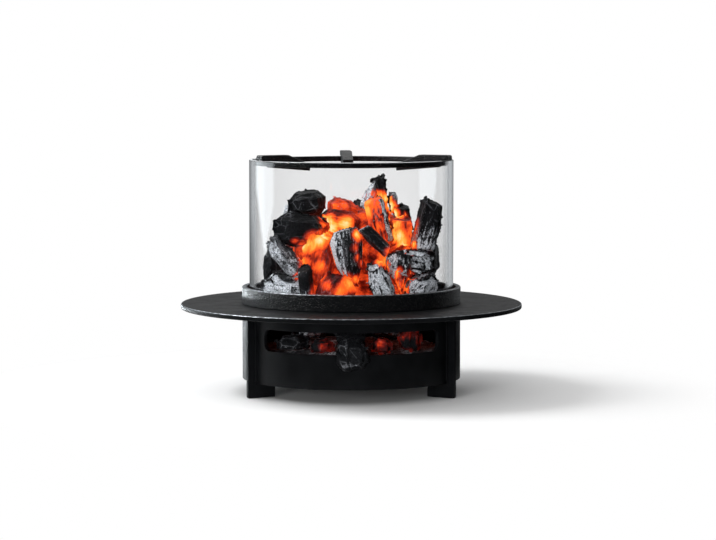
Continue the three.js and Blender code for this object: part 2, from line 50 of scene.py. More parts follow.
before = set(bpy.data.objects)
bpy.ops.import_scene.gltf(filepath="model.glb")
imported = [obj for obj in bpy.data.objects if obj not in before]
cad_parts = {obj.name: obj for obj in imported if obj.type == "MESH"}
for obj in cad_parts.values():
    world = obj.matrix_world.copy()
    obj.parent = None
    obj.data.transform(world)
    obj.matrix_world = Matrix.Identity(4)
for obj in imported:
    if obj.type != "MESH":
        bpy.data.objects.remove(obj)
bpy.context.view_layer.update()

NEAR = 1e-5  # two places this close are the same
FULL_TURN = 2 * math.pi
MILLIMETRE = 0.001
SIDES = ("right", "rear", "left")  # of the legs and of the pan rest's arms, by turn
HALF_PLATE = 0.0024  # half a leg's thickness
CUTTER_STEPS = 48  # faces along the bent slot cutter
WALL_STEPS = 48  # faces along a curved cloth or panel
ASH_CELL = 0.0022  # size of the ash bed's faces
ASH_RELIEF = (("drifts", 0.02, 0.003), ("ash crumbs", 0.005, 0.0018))  # name, size, depth
GRAIN_SHIFT = (0.37, 0.53, 0.71)  # moves the grain from lump to lump
LEG_STEP, FIRST_LEG = 120, -30  # in degrees from +X
WELD_GAP = 0.002  # from the ends of a weld to the drum's edges
RIPPLE = 1.1  # length of a weld's ripple, in radii of its bead
GLOWS_ABOVE = 0.25  # a lump whose own heat is above this glows by itself
GLASS_INDEX = 1.47

# The camera, fitted to the photo: its width, the object's middle and the lens are in pixels.
PHOTO_WIDTH, OBJECT_COLUMN, LENS_PIXELS = 716, 351.3, 2412
SENSOR_WIDTH = 36.0
CAMERA_PLACE, CAMERA_TILT = (0, -2.824, 0.371), 4.62

CLOTH_REACH, PANEL_REACH = 3.8, 1.1  # from the middle out to the cloths and to the panels
CARD_FOOT = 0.003  # the cloths' lower edge, just over the floor
PANEL_MIDDLE, PANEL_RISE = 110, 0.3  # where the tall panel hangs lowest, and its rise from there
FLOOR_RADIUS, FLOOR_INSET = 9, 6

# The charcoal: node, finish, body. A finish is a row of FINISHES.
PILE = {
    "coal_centre_log": "split",
    "coal_front_ash": "ashen",
    "coal_bent_branch": "branch",
    "coal_glowing_slab": "slab",
    "coal_right_upright": "bark",
    "coal_right_ash": "ashen",
    "coal_right_low": "ashen",
    "coal_left_top": "veined",
    "coal_left_big": "black",
    "coal_left_leaning": "grey",
    "coal_left_ash": "ashen",
    "coal_left_log": "smooth",
    "coal_peak_grey": "grey",
    "coal_peak_black": "black",
    "coal_top_small": "grey",
    "coal_right_black": "black",
    "ember_left": "glowing",
    "ember_middle": "glowing",
    "ember_right": "glowing",
    "ember_front_low": "waning",
    "ember_right_low": "capped",
    "coal_middle_top": "warm",
    "coal_back_top": "black",
    "coal_back_left": "grey",
    "coal_back_middle": "black",
    "coal_back_right": "grey",
    "coal_right_side": "black",
    "coal_left_side": "veined",
    "coal_low_back_left": "ashen",
    "coal_low_back": "ashen",
    "coal_low_back_right": "black",
    "ember_core_left_low": "core",
    "ember_core_left_high": "core",
    "ember_core_right_low": "core",
    "ember_core_right_high": "core",
    "ember_core_top": "core",
}
DROPPED = {
    "coal_in_slot": "cold",
    "fallen_ember_left": "dying",
    "fallen_ember_right": "dying",
    "fallen_ember_side": "dying",
    "cinder_left": "cold",
    "cinder_middle": "cold",
    "cinder_back_left": "ashen",
    "cinder_back_right": "ashen",
}

Finish = namedtuple(
    "Finish",
    "heat creep ash pale grain crack hollow left up foot cool top",
    defaults=(0.0, 0.0, 0.0, 0.0),
)

# Each finish: heat of the lump itself, how strongly its neighbours' glow creeps onto it, share of
# its surface under ash, paleness of the rest, depths in millimetres of the grain, the cracks and
# the hollows, how much more ash lies on the left, on top and at the foot, and how much cooler it
# is on the right and at the top. The extra ash on the left, the lamp side, lightens that side of
# most lumps: partly their ash, partly painted light; the slab's negative share puts it on the
# right.
FINISHES = {
    "split": Finish(0.0, 0.75, 0.42, 0.48, 0.8, 1.0, 1.0, 0.95),
    "ashen": Finish(0.0, 0.75, 0.7, 0.4, 0.9, 1.8, 2.6, 0.0, 0.16),
    "branch": Finish(0.0, 0.65, 0.12, 0.4, 0.6, 0.4, 0.9, 0.55, 0.4),
    "bark": Finish(0.0, 0.75, 0.3, 0.15, 1.1, 1.0, 1.6, 0.0, 0.0, 0.5),
    "veined": Finish(0.0, 0.6, 0.04, 0.16, 0.4, 1.4, 1.8, 0.0, 0.05),
    "black": Finish(0.0, 0.75, 0.06, 0.08, 0.6, 1.1, 2.0, 0.0, 0.05),
    "grey": Finish(0.0, 0.75, 0.46, 0.6, 0.5, 0.9, 1.8, 0.15, 0.08),
    "smooth": Finish(0.0, 0.65, 0.1, 0.3, 0.6, 0.5, 0.9, 0.25, 0.05),
    "warm": Finish(0.38, 0.0, 0.16, 0.24, 0.8, 1.0, 1.4, 0.0, 0.1),
    "glowing": Finish(0.35, 0.0, 0.1, 0.2, 0.9, 1.0, 1.2, 0.0, 0.05),
    "slab": Finish(0.46, 0.0, 0.1, 0.5, 0.7, 0.8, 1.0, -0.8, 0.0, 0.0, 0.9),
    "waning": Finish(0.3, 0.0, 0.12, 0.15, 1.0, 1.2, 1.2, 0.0),
    "capped": Finish(0.4, 0.0, 0.35, 0.3, 1.0, 1.4, 1.8, 0.0, 0.3, -0.35, 0.2, 0.28),
    "core": Finish(0.42, 0.0, 0.05, 0.15, 0.3, 0.1, 0.1, 0.0),
    "dying": Finish(0.26, 0.0, 0.14, 0.12, 0.9, 1.2, 2.2, 0.0, 0.05),
    "cold": Finish(0.0, 0.4, 0.14, 0.1, 0.8, 1.4, 2.4, 0.0, 0.0, 0.1),
}
EMBER_FINISHES = ("glowing", "slab", "waning", "capped", "core", "dying")
ASHEN_FINISHES = ("ashen", "grey", "split")

# Hot places among the lumps, in millimetres: x, y, z, and how hot, where 1 is yellow-white.
HOT_SPOTS = (
    (-63, -68, 179, 0.55), (-54, -65, 175, 0.8), (-45, -71, 176, 0.85), (-36, -70, 183, 1.0),
    (-30, -62, 187, 0.9), (-40, -71, 168, 0.6), (-53, -70, 158, 0.6), (-37, -71, 152, 0.6),
    (-33, -90, 143, 0.5), (-29, -99, 136, 0.58), (-21, -103, 130, 0.42), (-11, -104, 128, 0.66),
    (-1, -99, 135, 0.78), (7, -78, 138, 0.75), (16, -89, 139, 0.55), (12, -28, 125, 0.6),
    (-20, -22, 219, 0.5), (-7, -18, 223, 0.5), (-28, -46, 202, 0.95), (-22, -51, 195, 0.96),
    (-7, -50, 199, 1.0), (5, -80, 188, 0.85), (6, -87, 175, 0.6), (9, -83, 163, 0.5),
    (12, -76, 156, 0.5), (15, -17, 232, 0.5), (22, -19, 234, 0.5), (29, -19, 232, 0.55),
    (36, -19, 230, 0.75), (42, -18, 228, 0.9), (46, -16, 219, 0.95), (50, -27, 210, 0.95),
    (18, -53, 228, 0.72), (17, -57, 214, 0.8), (31, -58, 197, 0.7), (51, -55, 200, 0.8),
    (54, -58, 188, 0.9), (61, -58, 180, 0.8), (70, -36, 175, 0.85), (64, -56, 203, 0.5),
    (69, -55, 191, 0.6), (76, -46, 172, 0.6), (37, -34, 158, 0.75), (31, -90, 159, 0.65),
    (39, -71, 155, 0.8), (43, -80, 170, 0.6), (51, -83, 147, 0.7), (56, -82, 133, 0.6),
    (-30, 45, 200, 0.9), (10, 55, 190, 1.0), (45, 40, 205, 0.9), (-60, 10, 185, 0.9),
    (70, 20, 180, 0.9), (-20, 70, 140, 0.85), (40, 75, 140, 0.85), (-75, 30, 140, 0.8),
    (80, -5, 130, 0.8), (-33, -112, 69, 0.46), (33, -107, 69, 0.42), (60, -81, 73, 0.38),
)

# What a user would change


def number(name, description, default, **limits):
    return bpy.props.FloatProperty(name=name, description=description, default=default, **limits)


def length(name, description, default):
    return number(name, description, default, min=0, unit="LENGTH", precision=5)


def colour(name, description, default):
    return bpy.props.FloatVectorProperty(
        name=name, description=description, default=default, min=0, max=1, size=3, subtype="COLOR"
    )


class FirePitSizes(bpy.types.PropertyGroup):
    """Sizes of the metalwork and the glass"""

    turn_steps: bpy.props.IntProperty(
        name="Turn steps", description="Sides of a turned piece", default=192, min=24
    )
    drum_wall: length("Drum wall", "Thickness of the drum's rolled sheet", 0.004)
    drum_edge: length("Drum edge", "Rounding of the drum's edges and the slot's lip", 0.0011)
    slot_angle: number(
        "Slot angle", "Angle that the slot takes of the drum", math.radians(102), subtype="ANGLE"
    )
    slot_height: length("Slot height", "Height of the air slot", 0.025)
    slot_below_rim: length("Slot below rim", "From the drum's rim down to the slot", 0.0135)
    slot_corner: length("Slot corner", "Radius of the slot's corners", 0.009)
    plate_edge: length("Plate edge", "Rounding of the legs' edges", 0.0007)
    pan_sheet: length("Pan sheet", "Thickness of the floor pan", 0.0018)
    pan_edge: length("Pan edge", "Rounding of the pan's rim", 0.0006)
    tray_bore: length("Tray bore", "Radius of the hole in the tray", 0.1173)
    tray_edge: length("Tray edge", "Rounding of the tray's rims", 0.0016)
    collar_bore: length("Collar bore", "Radius of the hole in the collar", 0.1123)
    collar_wall: length("Collar wall", "Thickness of the collar's upright wall", 0.006)
    collar_ledge: length("Collar ledge", "Thickness of the ledge under the glass", 0.0035)
    collar_edge: length("Collar edge", "Rounding of the collar's rim", 0.0015)
    spigot_wall: length("Spigot wall", "Thickness of the collar's spigot", 0.0047)
    spigot_depth: length("Spigot depth", "How far the spigot reaches into the tray", 0.0048)
    gasket_bore: length("Gasket bore", "Radius of the hole in the gasket", 0.1135)
    gasket_edge: length("Gasket edge", "Rounding of the gasket", 0.0005)
    glass_wall: length("Glass wall", "Thickness of the glass", 0.0048)
    glass_edge: length("Glass edge", "Rounding of the glass's rims", 0.0014)
    hoop_wall: length("Hoop wall", "Thickness of the pan rest's hoop", 0.003)
    cast_edge: length("Cast edge", "Rounding of the cast arms, hoop and grate", 0.0009)
    weld_bead: length("Weld bead", "Radius of a weld bead", 0.0016)


class FirePitCharcoal(bpy.types.PropertyGroup):
    """How the charcoal is broken, cracked and burnt"""

    fine_cell: length("Fine cell", "Size of the faces of the lumps that show", 0.001)
    coarse_cell: length("Coarse cell", "Size of the faces of the lumps inside the pile", 0.002)
    grain_size: length("Grain size", "Width of one streak of the wood's grain", 0.0026)
    grain_stretch: number("Grain stretch", "How much longer than wide a streak is", 7, min=1)
    crack_size: length("Crack size", "Width between two cracks", 0.009)
    lump_size: length("Lump size", "Width of one hollow in a broken face", 0.016)
    glow_creep: length("Glow creep", "How far an ember's glow creeps onto a neighbour", 0.006)
    ember_reach: length("Ember reach", "Radius of a hot spot on an ember", 0.014)
    edge_reach: length("Edge reach", "Radius of a hot spot on a dark lump", 0.009)


class FirePitColours(bpy.types.PropertyGroup):
    """Colours of the finishes and of the fire"""

    steel: colour("Steel", "Painted steel of the drum, legs and tray", (0.0026, 0.0029, 0.0034))
    iron: colour("Iron", "Cast iron of the collar, grate and pan rest", (0.0013, 0.0015, 0.0018))
    glass: colour("Glass", "Tint of the glass", (0.955, 0.957, 0.96))
    gasket: colour("Gasket", "Woven gasket under the glass", (0.5, 0.48, 0.44))
    charcoal: colour("Charcoal", "Burnt wood", (0.005, 0.0054, 0.0062))
    # Bloom is also the colour of the painted highlight and sheen on the charcoal's ridges and
    # cracks.
    bloom: colour("Bloom", "Grey bloom on burnt wood", (0.16, 0.165, 0.18))
    ash: colour("Ash", "Wood ash", (0.5, 0.53, 0.57))
    dull_red: colour("Dull red", "The coolest glow", (0.16, 0.006, 0.002))
    red: colour("Red", "Red glow", (0.75, 0.055, 0.01))
    orange: colour("Orange", "Orange glow", (1.0, 0.17, 0.018))
    yellow: colour("Yellow", "Yellow glow", (1.0, 0.5, 0.07))
    white_hot: colour("White-hot", "The hottest glow", (1.0, 0.86, 0.42))


class FirePitStage(bpy.types.PropertyGroup):
    """Lamps and floor"""

    key_power: number("Key power", "Lamp on the left", 27)
    fill_power: number("Fill power", "Low lamp in front, for the charcoal", 32)
    panel_light: number("Panel light", "Tall panel that the glass mirrors", 2.0)
    ambient: number("Ambient", "Light from all round", 0.75, min=0, max=1, subtype="FACTOR")
    floor: colour("Floor", "Colour of the floor", (0.86, 0.86, 0.86))


def settings(name):
    return getattr(bpy.context.scene, "fire_pit_" + name)


# Modelling


def deselect():
    if bpy.context.mode != "OBJECT":
        bpy.ops.object.mode_set(mode="OBJECT")
    bpy.ops.object.select_all(action="DESELECT")


def choose(piece):
    deselect()
    piece.select_set(True)
    bpy.context.view_layer.objects.active = piece


def put_in_scene(name, data):
    thing = bpy.data.objects.new(name, data)
    bpy.context.scene.collection.objects.link(thing)
    return thing


def select_mesh():
    bpy.ops.mesh.select_all(action="SELECT")


@contextmanager
def editing(piece):
    choose(piece)
    bpy.ops.object.mode_set(mode="EDIT")
    bpy.ops.mesh.select_mode(type="VERT")
    select_mesh()
    yield
    bpy.ops.object.mode_set(mode="OBJECT")


def pick(piece, test, kind="VERT"):
    """Selects, in edit mode, the elements of a kind whose every corner passes the test."""
    bpy.ops.mesh.select_mode(type=kind)
    bpy.ops.mesh.select_all(action="DESELECT")
    mesh = bmesh.from_edit_mesh(piece.data)
    for element in {"VERT": mesh.verts, "EDGE": mesh.edges, "FACE": mesh.faces}[kind]:
        corners = [element] if kind == "VERT" else element.verts
        if all(test(corner.co) for corner in corners):
            element.select_set(True)
    mesh.select_flush_mode()
    bmesh.update_edit_mesh(piece.data)


def cut(place, normal):
    """Cuts the whole mesh in edit mode by a plane."""
    select_mesh()
    bpy.ops.mesh.bisect(plane_co=place, plane_no=normal)


def spin(steps, angle):
    """Turns the whole mesh in edit mode round the Z axis, in so many steps."""
    select_mesh()
    bpy.ops.mesh.spin(steps=steps, angle=angle, center=(0, 0, 0), axis=(0, 0, 1))


def apply_modifier(piece, name, kind, **values):
    choose(piece)
    modifier = piece.modifiers.new(name, kind)
    for key, value in values.items():
        setattr(modifier, key, value)
    bpy.ops.object.modifier_apply(modifier=modifier.name)


def smooth(piece, degrees=32):
    """Smooths over rounded edges and keeps the large faces flat."""
    choose(piece)
    bpy.ops.object.shade_smooth_by_angle(angle=math.radians(degrees))
    apply_modifier(piece, "level", "WEIGHTED_NORMAL", weight=100, keep_sharp=True)


def round_edges(piece, width, segments=3, degrees=25):
    apply_modifier(
        piece,
        "edge",
        "BEVEL",
        width=width,
        segments=segments,
        limit_method="ANGLE",
        angle_limit=math.radians(degrees),
    )
    smooth(piece)


def named(piece, name):
    piece.name = piece.data.name = name
    return piece


def section(name, inner, outer, low, high):
    """A flat upright rectangle, from which the section of a turned piece is shaped."""
    deselect()
    middle = ((inner + outer) / 2, 0, (low + high) / 2)
    bpy.ops.mesh.primitive_plane_add(size=1, location=middle, rotation=(math.pi / 2, 0, 0))
    piece = named(bpy.context.object, name)
    piece.scale = (outer - inner, high - low, 1)
    bpy.ops.object.transform_apply()
    return piece


def step_out(piece, inner, outer, level, rise):
    """Cuts a flat section at two radii and draws out what lies between them on one level."""
    with editing(piece):
        for radius in (inner, outer):
            cut((radius, 0, 0), (1, 0, 0))
        pick(
            piece,
            lambda at: inner - NEAR < at.x < outer + NEAR and abs(at.z - level) < NEAR,
            "EDGE",
        )
        bpy.ops.mesh.extrude_region_move(TRANSFORM_OT_translate={"value": (0, 0, rise)})
        select_mesh()
        bpy.ops.mesh.remove_doubles(threshold=NEAR)
        bpy.ops.mesh.select_mode(type="FACE")
        select_mesh()
        bpy.ops.mesh.dissolve_limited(angle_limit=math.radians(1))


def round_corner(piece, radius, height, width, segments=4):
    with editing(piece):
        pick(piece, lambda at: abs(at.x - radius) < NEAR and abs(at.z - height) < NEAR)
        bpy.ops.mesh.bevel(offset=width, segments=segments, affect="VERTICES")


def turn(piece, steps=None):
    """Turns a flat section once round the Z axis into a closed shell."""
    with editing(piece):
        bpy.ops.mesh.delete(type="ONLY_FACE")
        spin(steps or settings("sizes").turn_steps, FULL_TURN)
        select_mesh()
        bpy.ops.mesh.remove_doubles(threshold=NEAR)
        bpy.ops.mesh.normals_make_consistent(inside=False)
    smooth(piece)
    return piece


def cast_copy(node, name, edge, segments=3):
    """A copy of a node of the frame, with its doubles merged and its edges rounded."""
    deselect()
    piece = named(put_in_scene(name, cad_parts[node].data.copy()), name)
    piece.data.materials.clear()
    with editing(piece):
        bpy.ops.mesh.remove_doubles(threshold=NEAR)
        bpy.ops.mesh.dissolve_limited(angle_limit=math.radians(1))
    if edge:
        round_edges(piece, edge, segments)
    return piece


def outer_radius(node):
    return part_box(node)[1].x


def ring(name, node, bore, edge, segments, steps=None):
    """A turned ring with round corners, from its bore out to the reach of its node."""
    low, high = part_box(node)
    piece = section(name, bore, high.x, low.z, high.z)
    for height in (low.z, high.z):
        for radius in (bore, high.x):
            round_corner(piece, radius, height, edge, segments)
    return turn(piece, steps)


def settle(piece, finish, body, slot, *nodes):
    """Gives a finished piece its material and body, and hides the nodes it stands for; the slot is
    not used.
    """
    piece.data.materials.clear()
    piece.data.materials.append(material(finish))
    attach(piece, body)
    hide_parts(*nodes)


# Materials


class Nodes:
    """A node tree under way: nodes are added by kind, and joined where a value is a socket."""

    def __init__(self, tree):
        self.tree = tree

    def add(self, kind, values=(), **properties):
        node = self.tree.nodes.new("ShaderNode" + kind)
        for key, value in properties.items():
            setattr(node, key, value)
        self.fill(node, dict(values))
        return node

    def fill(self, node, values):
        for key, value in values.items():
            if isinstance(value, bpy.types.NodeSocket):
                self.tree.links.new(value, node.inputs[key])
            else:
                socket = node.inputs[key]
                is_colour = socket.type == "RGBA" and len(value) == 3
                socket.default_value = (*value, 1) if is_colour else value

    def math(self, operation, first, second):
        return self.add("Math", {0: first, 1: second}, operation=operation).outputs[0]

    def times(self, first, second):
        return self.math("MULTIPLY", first, second)

    def plus(self, first, second):
        return self.math("ADD", first, second)

    def less(self, first, second):
        return self.math("SUBTRACT", first, second)

    def blend(self, factor, first, second):
        return self.add("MixShader", {0: factor, 1: first.outputs[0], 2: second.outputs[0]})

    def seen(self):
        """1 for what the camera meets itself, by a mirror or through glass."""
        path = self.add("LightPath")
        passed = self.math(
            "MAXIMUM", path.outputs["Is Glossy Ray"], path.outputs["Is Transmission Ray"]
        )
        return self.math("MAXIMUM", path.outputs["Is Camera Ray"], passed)


class Recipe(Nodes):
    """A material under way, from the plain shader that it starts with."""

    def __init__(self, name):
        self.material = bpy.data.materials.new(name)
        self.material.use_nodes = True
        super().__init__(self.material.node_tree)
        self.shader = self.tree.nodes["Principled BSDF"]
        self.place = self.add("TexCoord").outputs["Object"]

    def show(self, surface):
        """Puts another surface in the place of the plain shader."""
        output = self.tree.nodes["Material Output"]
        self.tree.links.new(surface.outputs[0], output.inputs["Surface"])
        return self.material

    def coordinate(self, axis):
        return self.add("SeparateXYZ", {"Vector": self.place}).outputs[axis]

    def shade(self, **values):
        self.fill(self.shader, {key.replace("_", " "): value for key, value in values.items()})

    def attribute(self, name, output="Fac"):
        return self.add("Attribute", attribute_name=name).outputs[output]

    def stretched(self, factor):
        """The place, scaled by a factor along Z; 1 leaves it as it is."""
        if factor == 1:
            return self.place
        return self.add("Mapping", {"Vector": self.place, "Scale": (1, 1, factor)}).outputs[0]

    def noise(self, scale, detail=4, rough=0.55, along=1):
        values = {"Scale": scale, "Detail": detail, "Roughness": rough}
        return self.add("TexNoise", {"Vector": self.stretched(along), **values}).outputs["Fac"]

    def cells(self, scale, feature="F1", along=1):
        values = {"Vector": self.stretched(along), "Scale": scale}
        return self.add("TexVoronoi", values, feature=feature).outputs["Distance"]

    def ease(self, value, low, high, start=0.0, end=1.0):
        """A soft step of value, from start at low to end at high."""
        return self.add(
            "MapRange",
            {"Value": value, "From Min": low, "From Max": high, "To Min": start, "To Max": end},
            interpolation_type="SMOOTHSTEP",
        ).outputs["Result"]

    def mix(self, factor, first, second):
        return self.add("Mix", {0: factor, 6: first, 7: second}, data_type="RGBA").outputs[2]

    def tones(self, factor, name, dark, light):
        """Runs between two tints of one of the settings' colours."""
        return self.mix(factor, hue(name, dark), hue(name, light))

    def bump(self, height, strength, distance):
        values = {"Height": height, "Strength": strength, "Distance": distance}
        self.shade(Normal=self.add("Bump", values).outputs["Normal"])

    def ramp(self, factor, stops):
        node = self.add("ValToRGB", {"Fac": factor})
        elements = node.color_ramp.elements
        (start, first), *between, (end, last) = stops
        elements[0].position, elements[0].color = start, (*first, 1)
        elements[1].position, elements[1].color = end, (*last, 1)
        for position, value in between:
            elements.new(position).color = (*value, 1)
        return node.outputs["Color"]


def tinted(value, factor):
    return tuple(min(1.0, part * factor) for part in value)


def hue(name, factor=1.0):
    """One of the settings' colours, made darker or lighter."""
    return tinted(getattr(settings("colours"), name), factor)


def painted_steel(recipe):
    """Black heat-proof paint on sheet steel: an even satin with a faint mottle."""
    cloud = recipe.noise(38, 5, 0.6)
    grit = recipe.noise(1500, 2)
    tone = recipe.plus(recipe.times(cloud, 0.7), recipe.times(grit, 0.3))
    recipe.shade(
        Base_Color=recipe.tones(recipe.ease(tone, 0.3, 0.7), "steel", 0.7, 1.5),
        Roughness=recipe.ease(cloud, 0.3, 0.75, 0.4, 0.54),
        Specular_IOR_Level=0.15,
    )
    recipe.bump(recipe.noise(1100, 3), 0.25, 0.0002)


def cast_iron(recipe):
    """Sand-cast iron: a pebbled skin with small pits, rubbed smoother in places."""
    pits = recipe.ease(recipe.cells(420), 0.1, 0.45)
    height = recipe.plus(recipe.noise(400, 4, 0.6), recipe.times(pits, 0.5))
    recipe.shade(
        Base_Color=recipe.tones(recipe.ease(height, 0.5, 1.1), "iron", 0.5, 1.7),
        Roughness=recipe.ease(recipe.noise(30, 3), 0.3, 0.7, 0.3, 0.42),
        Specular_IOR_Level=0.42,
    )
    recipe.bump(height, 0.8, 0.0013)


def rubbed_edge_and_highlight(recipe):
    """The thin line along a rim where handling has rubbed the black down to the bare metal; rubbed
    more on the left, the lamp side, it is also a painted highlight.
    """
    scuffs = recipe.noise(260, 5, 0.65, along=4)
    # Rubbed more on the left, where the key lamp stands: a painted highlight that fades to the
    # right.
    lamp_side_highlight = recipe.ease(recipe.coordinate("X"), -0.1, 0.12, 1, 0.3)
    wear_and_highlight = recipe.times(recipe.ease(scuffs, 0.4, 0.6), lamp_side_highlight)
    bare_metal_and_highlight = recipe.mix(wear_and_highlight, (0.05, 0.055, 0.06), (0.5, 0.54, 0.58))
    recipe.shade(Base_Color=bare_metal_and_highlight, Metallic=1.0, Roughness=recipe.ease(scuffs, 0.3, 0.7, 0.45, 0.3))


def clear_glass(recipe):
    """Clear glass that lets the lamps through and darkens where it is seen edge on."""
    edge_on = recipe.add("LayerWeight", {"Blend": 0.5}).outputs["Facing"]
    smear = recipe.ease(recipe.noise(22, 3, along=0.25), 0.35, 0.75)
    clear = recipe.tones(smear, "glass", 1.0, 0.988)
    recipe.shade(
        Base_Color=recipe.mix(recipe.ease(edge_on, 0.62, 0.9), clear, (0.3, 0.31, 0.33)),
        Roughness=0.0,
        IOR=GLASS_INDEX,
        Transmission_Weight=1.0,
    )
    shadow = recipe.add("LightPath").outputs["Is Shadow Ray"]
    open_way = recipe.add("BsdfTransparent", {"Color": hue("glass")})
    recipe.show(recipe.blend(shadow, recipe.shader, open_way))


def ground_rim_and_highlight(recipe):
    """The glass's ground rim: pale and frosted, with fine grinding marks; its paleness is also a
    painted highlight, for the light that the glass carries up to its rim.
    """
    marks = recipe.noise(900, 4, 0.6, along=3)
    recipe.shade(
        Base_Color=recipe.mix(marks, (0.5, 0.53, 0.55), (0.86, 0.89, 0.91)),
        Roughness=0.45,
        IOR=GLASS_INDEX,
        Transmission_Weight=0.35,
    )
    recipe.bump(marks, 0.4, 0.0002)


def woven_gasket(recipe):
    """Woven glass-fibre tape: fine crossing threads."""
    weave = {"Vector": recipe.place, "Scale": 420.0, "Distortion": 1.5, "Detail": 2.0}
    thread = recipe.add("TexWave", weave, bands_direction="DIAGONAL").outputs["Fac"]
    woven = recipe.tones(thread, "gasket", 0.55, 1.0)
    soot = recipe.ease(recipe.noise(60, 3), 0.45, 0.7)
    recipe.shade(Base_Color=recipe.mix(soot, woven, hue("gasket", 0.25)), Roughness=0.95)
    recipe.bump(thread, 0.5, 0.0004)


def wood_ash(recipe):
    """Fine wood ash with crumbs and specks of charcoal."""
    crumbs = recipe.noise(420, 5, 0.65)
    drift = recipe.ease(recipe.noise(60, 4), 0.4, 0.62)
    specks = recipe.ease(recipe.noise(240, 3), 0.6, 0.68)
    pale = recipe.tones(drift, "ash", 0.1, 0.8)
    crumbed = recipe.mix(recipe.ease(crumbs, 0.4, 0.6), hue("ash", 0.08), pale)
    recipe.shade(Base_Color=recipe.mix(specks, crumbed, hue("charcoal")), Roughness=0.95)
    recipe.bump(crumbs, 0.8, 0.0015)


def burning_charcoal(recipe):
    """Charcoal, from black through grey bloom and white ash to embers, by its attributes."""
    recipe.place = recipe.attribute("grain_place", "Vector")
    heat, ash_share = recipe.attribute("ember_heat"), recipe.attribute("ash_share")
    paleness, ridge = recipe.attribute("paleness"), recipe.attribute("ridge")
    times, plus, less, ease = recipe.times, recipe.plus, recipe.less, recipe.ease

    streaks = recipe.noise(380, 5, 0.62, along=0.13)
    fine = recipe.noise(620, 5, 0.68)
    middling = recipe.noise(210, 6, 0.66, along=0.5)
    broad = recipe.noise(62, 5, 0.6, along=0.6)
    checks = recipe.cells(105, "DISTANCE_TO_EDGE", along=0.45)
    veins = ease(checks, 0.012, 0.06, 1.0, 0.0)
    wear_and_highlight = ease(ridge, 0.05, 0.5)
    crevice_shade = ease(ridge, -0.3, -0.95)

    # Bloom follows the grain and is paler on the ridges, a painted highlight; the cracks get a
    # painted silvery sheen, and ash lies in crusts with ragged edges.
    bloom_noise = plus(plus(times(streaks, 0.55), times(broad, 0.45)), times(wear_and_highlight, 0.22))
    bloom = ease(less(bloom_noise, less(0.86, times(paleness, 0.62))), -0.1, 0.16)
    painted_silver_sheen = times(times(veins, ease(broad, 0.42, 0.62)), 0.36)
    bloom = recipe.math("MAXIMUM", bloom, painted_silver_sheen)
    crust_noise = plus(times(middling, 0.5), plus(times(fine, 0.3), times(broad, 0.2)))
    crust_noise = plus(crust_noise, times(ridge, 0.12))
    crust = ease(less(crust_noise, less(0.72, times(ash_share, 0.42))), -0.05, 0.08)

    mottle = ease(fine, 0.3, 0.7)
    dark = recipe.tones(mottle, "charcoal", 0.4, 2.0)
    pale = recipe.tones(mottle, "bloom", 0.45, 1.6)
    ash = recipe.tones(ease(fine, 0.34, 0.62), "ash", 0.3, 1.3)
    burnt = recipe.mix(crust, recipe.mix(bloom, dark, pale), ash)
    # The cracks and hollows are painted darker: painted shade.
    burnt = recipe.mix(times(crevice_shade, 0.55), burnt, hue("charcoal", 0.6))

    # The glow breaks up with the grain, is hotter in the cracks, and ash dims it.
    flicker = less(plus(times(broad, 0.7), plus(times(middling, 0.15), times(streaks, 0.15))), 0.5)
    hot = plus(heat, times(times(flicker, ease(heat, 0.1, 0.5)), 1.25))
    hot = less(hot, times(times(ridge, ease(heat, 0.15, 0.5)), 0.07))
    hot = less(hot, times(crust, ease(heat, 0.45, 0.9, 0.35, 0.08)))
    glows = ("dull_red", "red", "orange", "yellow", "white_hot")
    starts = (0.36, 0.48, 0.64, 0.82, 1.0)
    stops = [(start, hue(glow)) for start, glow in zip(starts, glows, strict=True)]
    glow = recipe.ramp(hot, [(0.0, (0, 0, 0)), (0.24, (0, 0, 0)), *stops])
    # Where hot, the base colour turns red as well: a painted glow beside the emission.
    recipe.shade(
        Base_Color=recipe.mix(ease(hot, 0.3, 0.6), burnt, hue("red", 0.3)),
        Roughness=ease(crust, 0.0, 1.0, 0.45, 0.95),
        Specular_IOR_Level=0.1,
        Emission_Color=glow,
        Emission_Strength=1.1,
    )
    relief = plus(plus(times(streaks, 0.5), times(fine, 0.5)), times(crust, 0.4))
    recipe.bump(relief, 0.7, 0.0018)


def studio_floor(name):
    """A pale floor with a painted shadow under the drum, that takes the real shadow near it and is
    white further off.
    """
    recipe = Recipe(name)
    floor = tuple(settings("stage").floor)
    reach = recipe.add("VectorMath", {0: recipe.place}, operation="LENGTH").outputs["Value"]
    pale = recipe.mix(recipe.noise(3, 2), tinted(floor, 0.985), floor)
    # Right under the drum the floor's colour is halved: a painted shadow.
    recipe.shade(
        Base_Color=recipe.mix(recipe.ease(reach, 0.1, 0.15), tinted(floor, 0.5), pale),
        Roughness=0.85,
        Specular_IOR_Level=0.1,
    )
    faded = recipe.times(recipe.ease(reach, 0.25, 0.47), recipe.seen())
    white = recipe.add("Emission", {"Color": (1, 1, 1), "Strength": 1.0})
    return recipe.show(recipe.blend(faded, recipe.shader, white))


def studio_card(name, left, right):
    """Cloth that only mirrored rays meet, of one level on the left and another on the right."""
    recipe = Recipe(name)
    weave = recipe.ease(recipe.noise(40, 3), 0.3, 0.7, 0.9, 1.1)
    level = recipe.times(weave, recipe.ease(recipe.coordinate("X"), -2.8, 0.2, left, right))
    shade = recipe.mix(level, (0, 0, 0), (0.93, 0.97, 1.0))
    cloth = recipe.add("Emission", {"Color": shade, "Strength": 1.0})
    mirrored = recipe.math("GREATER_THAN", recipe.add("LightPath").outputs["Glossy Depth"], 0.5)
    return recipe.show(recipe.blend(mirrored, recipe.add("BsdfTransparent"), cloth))


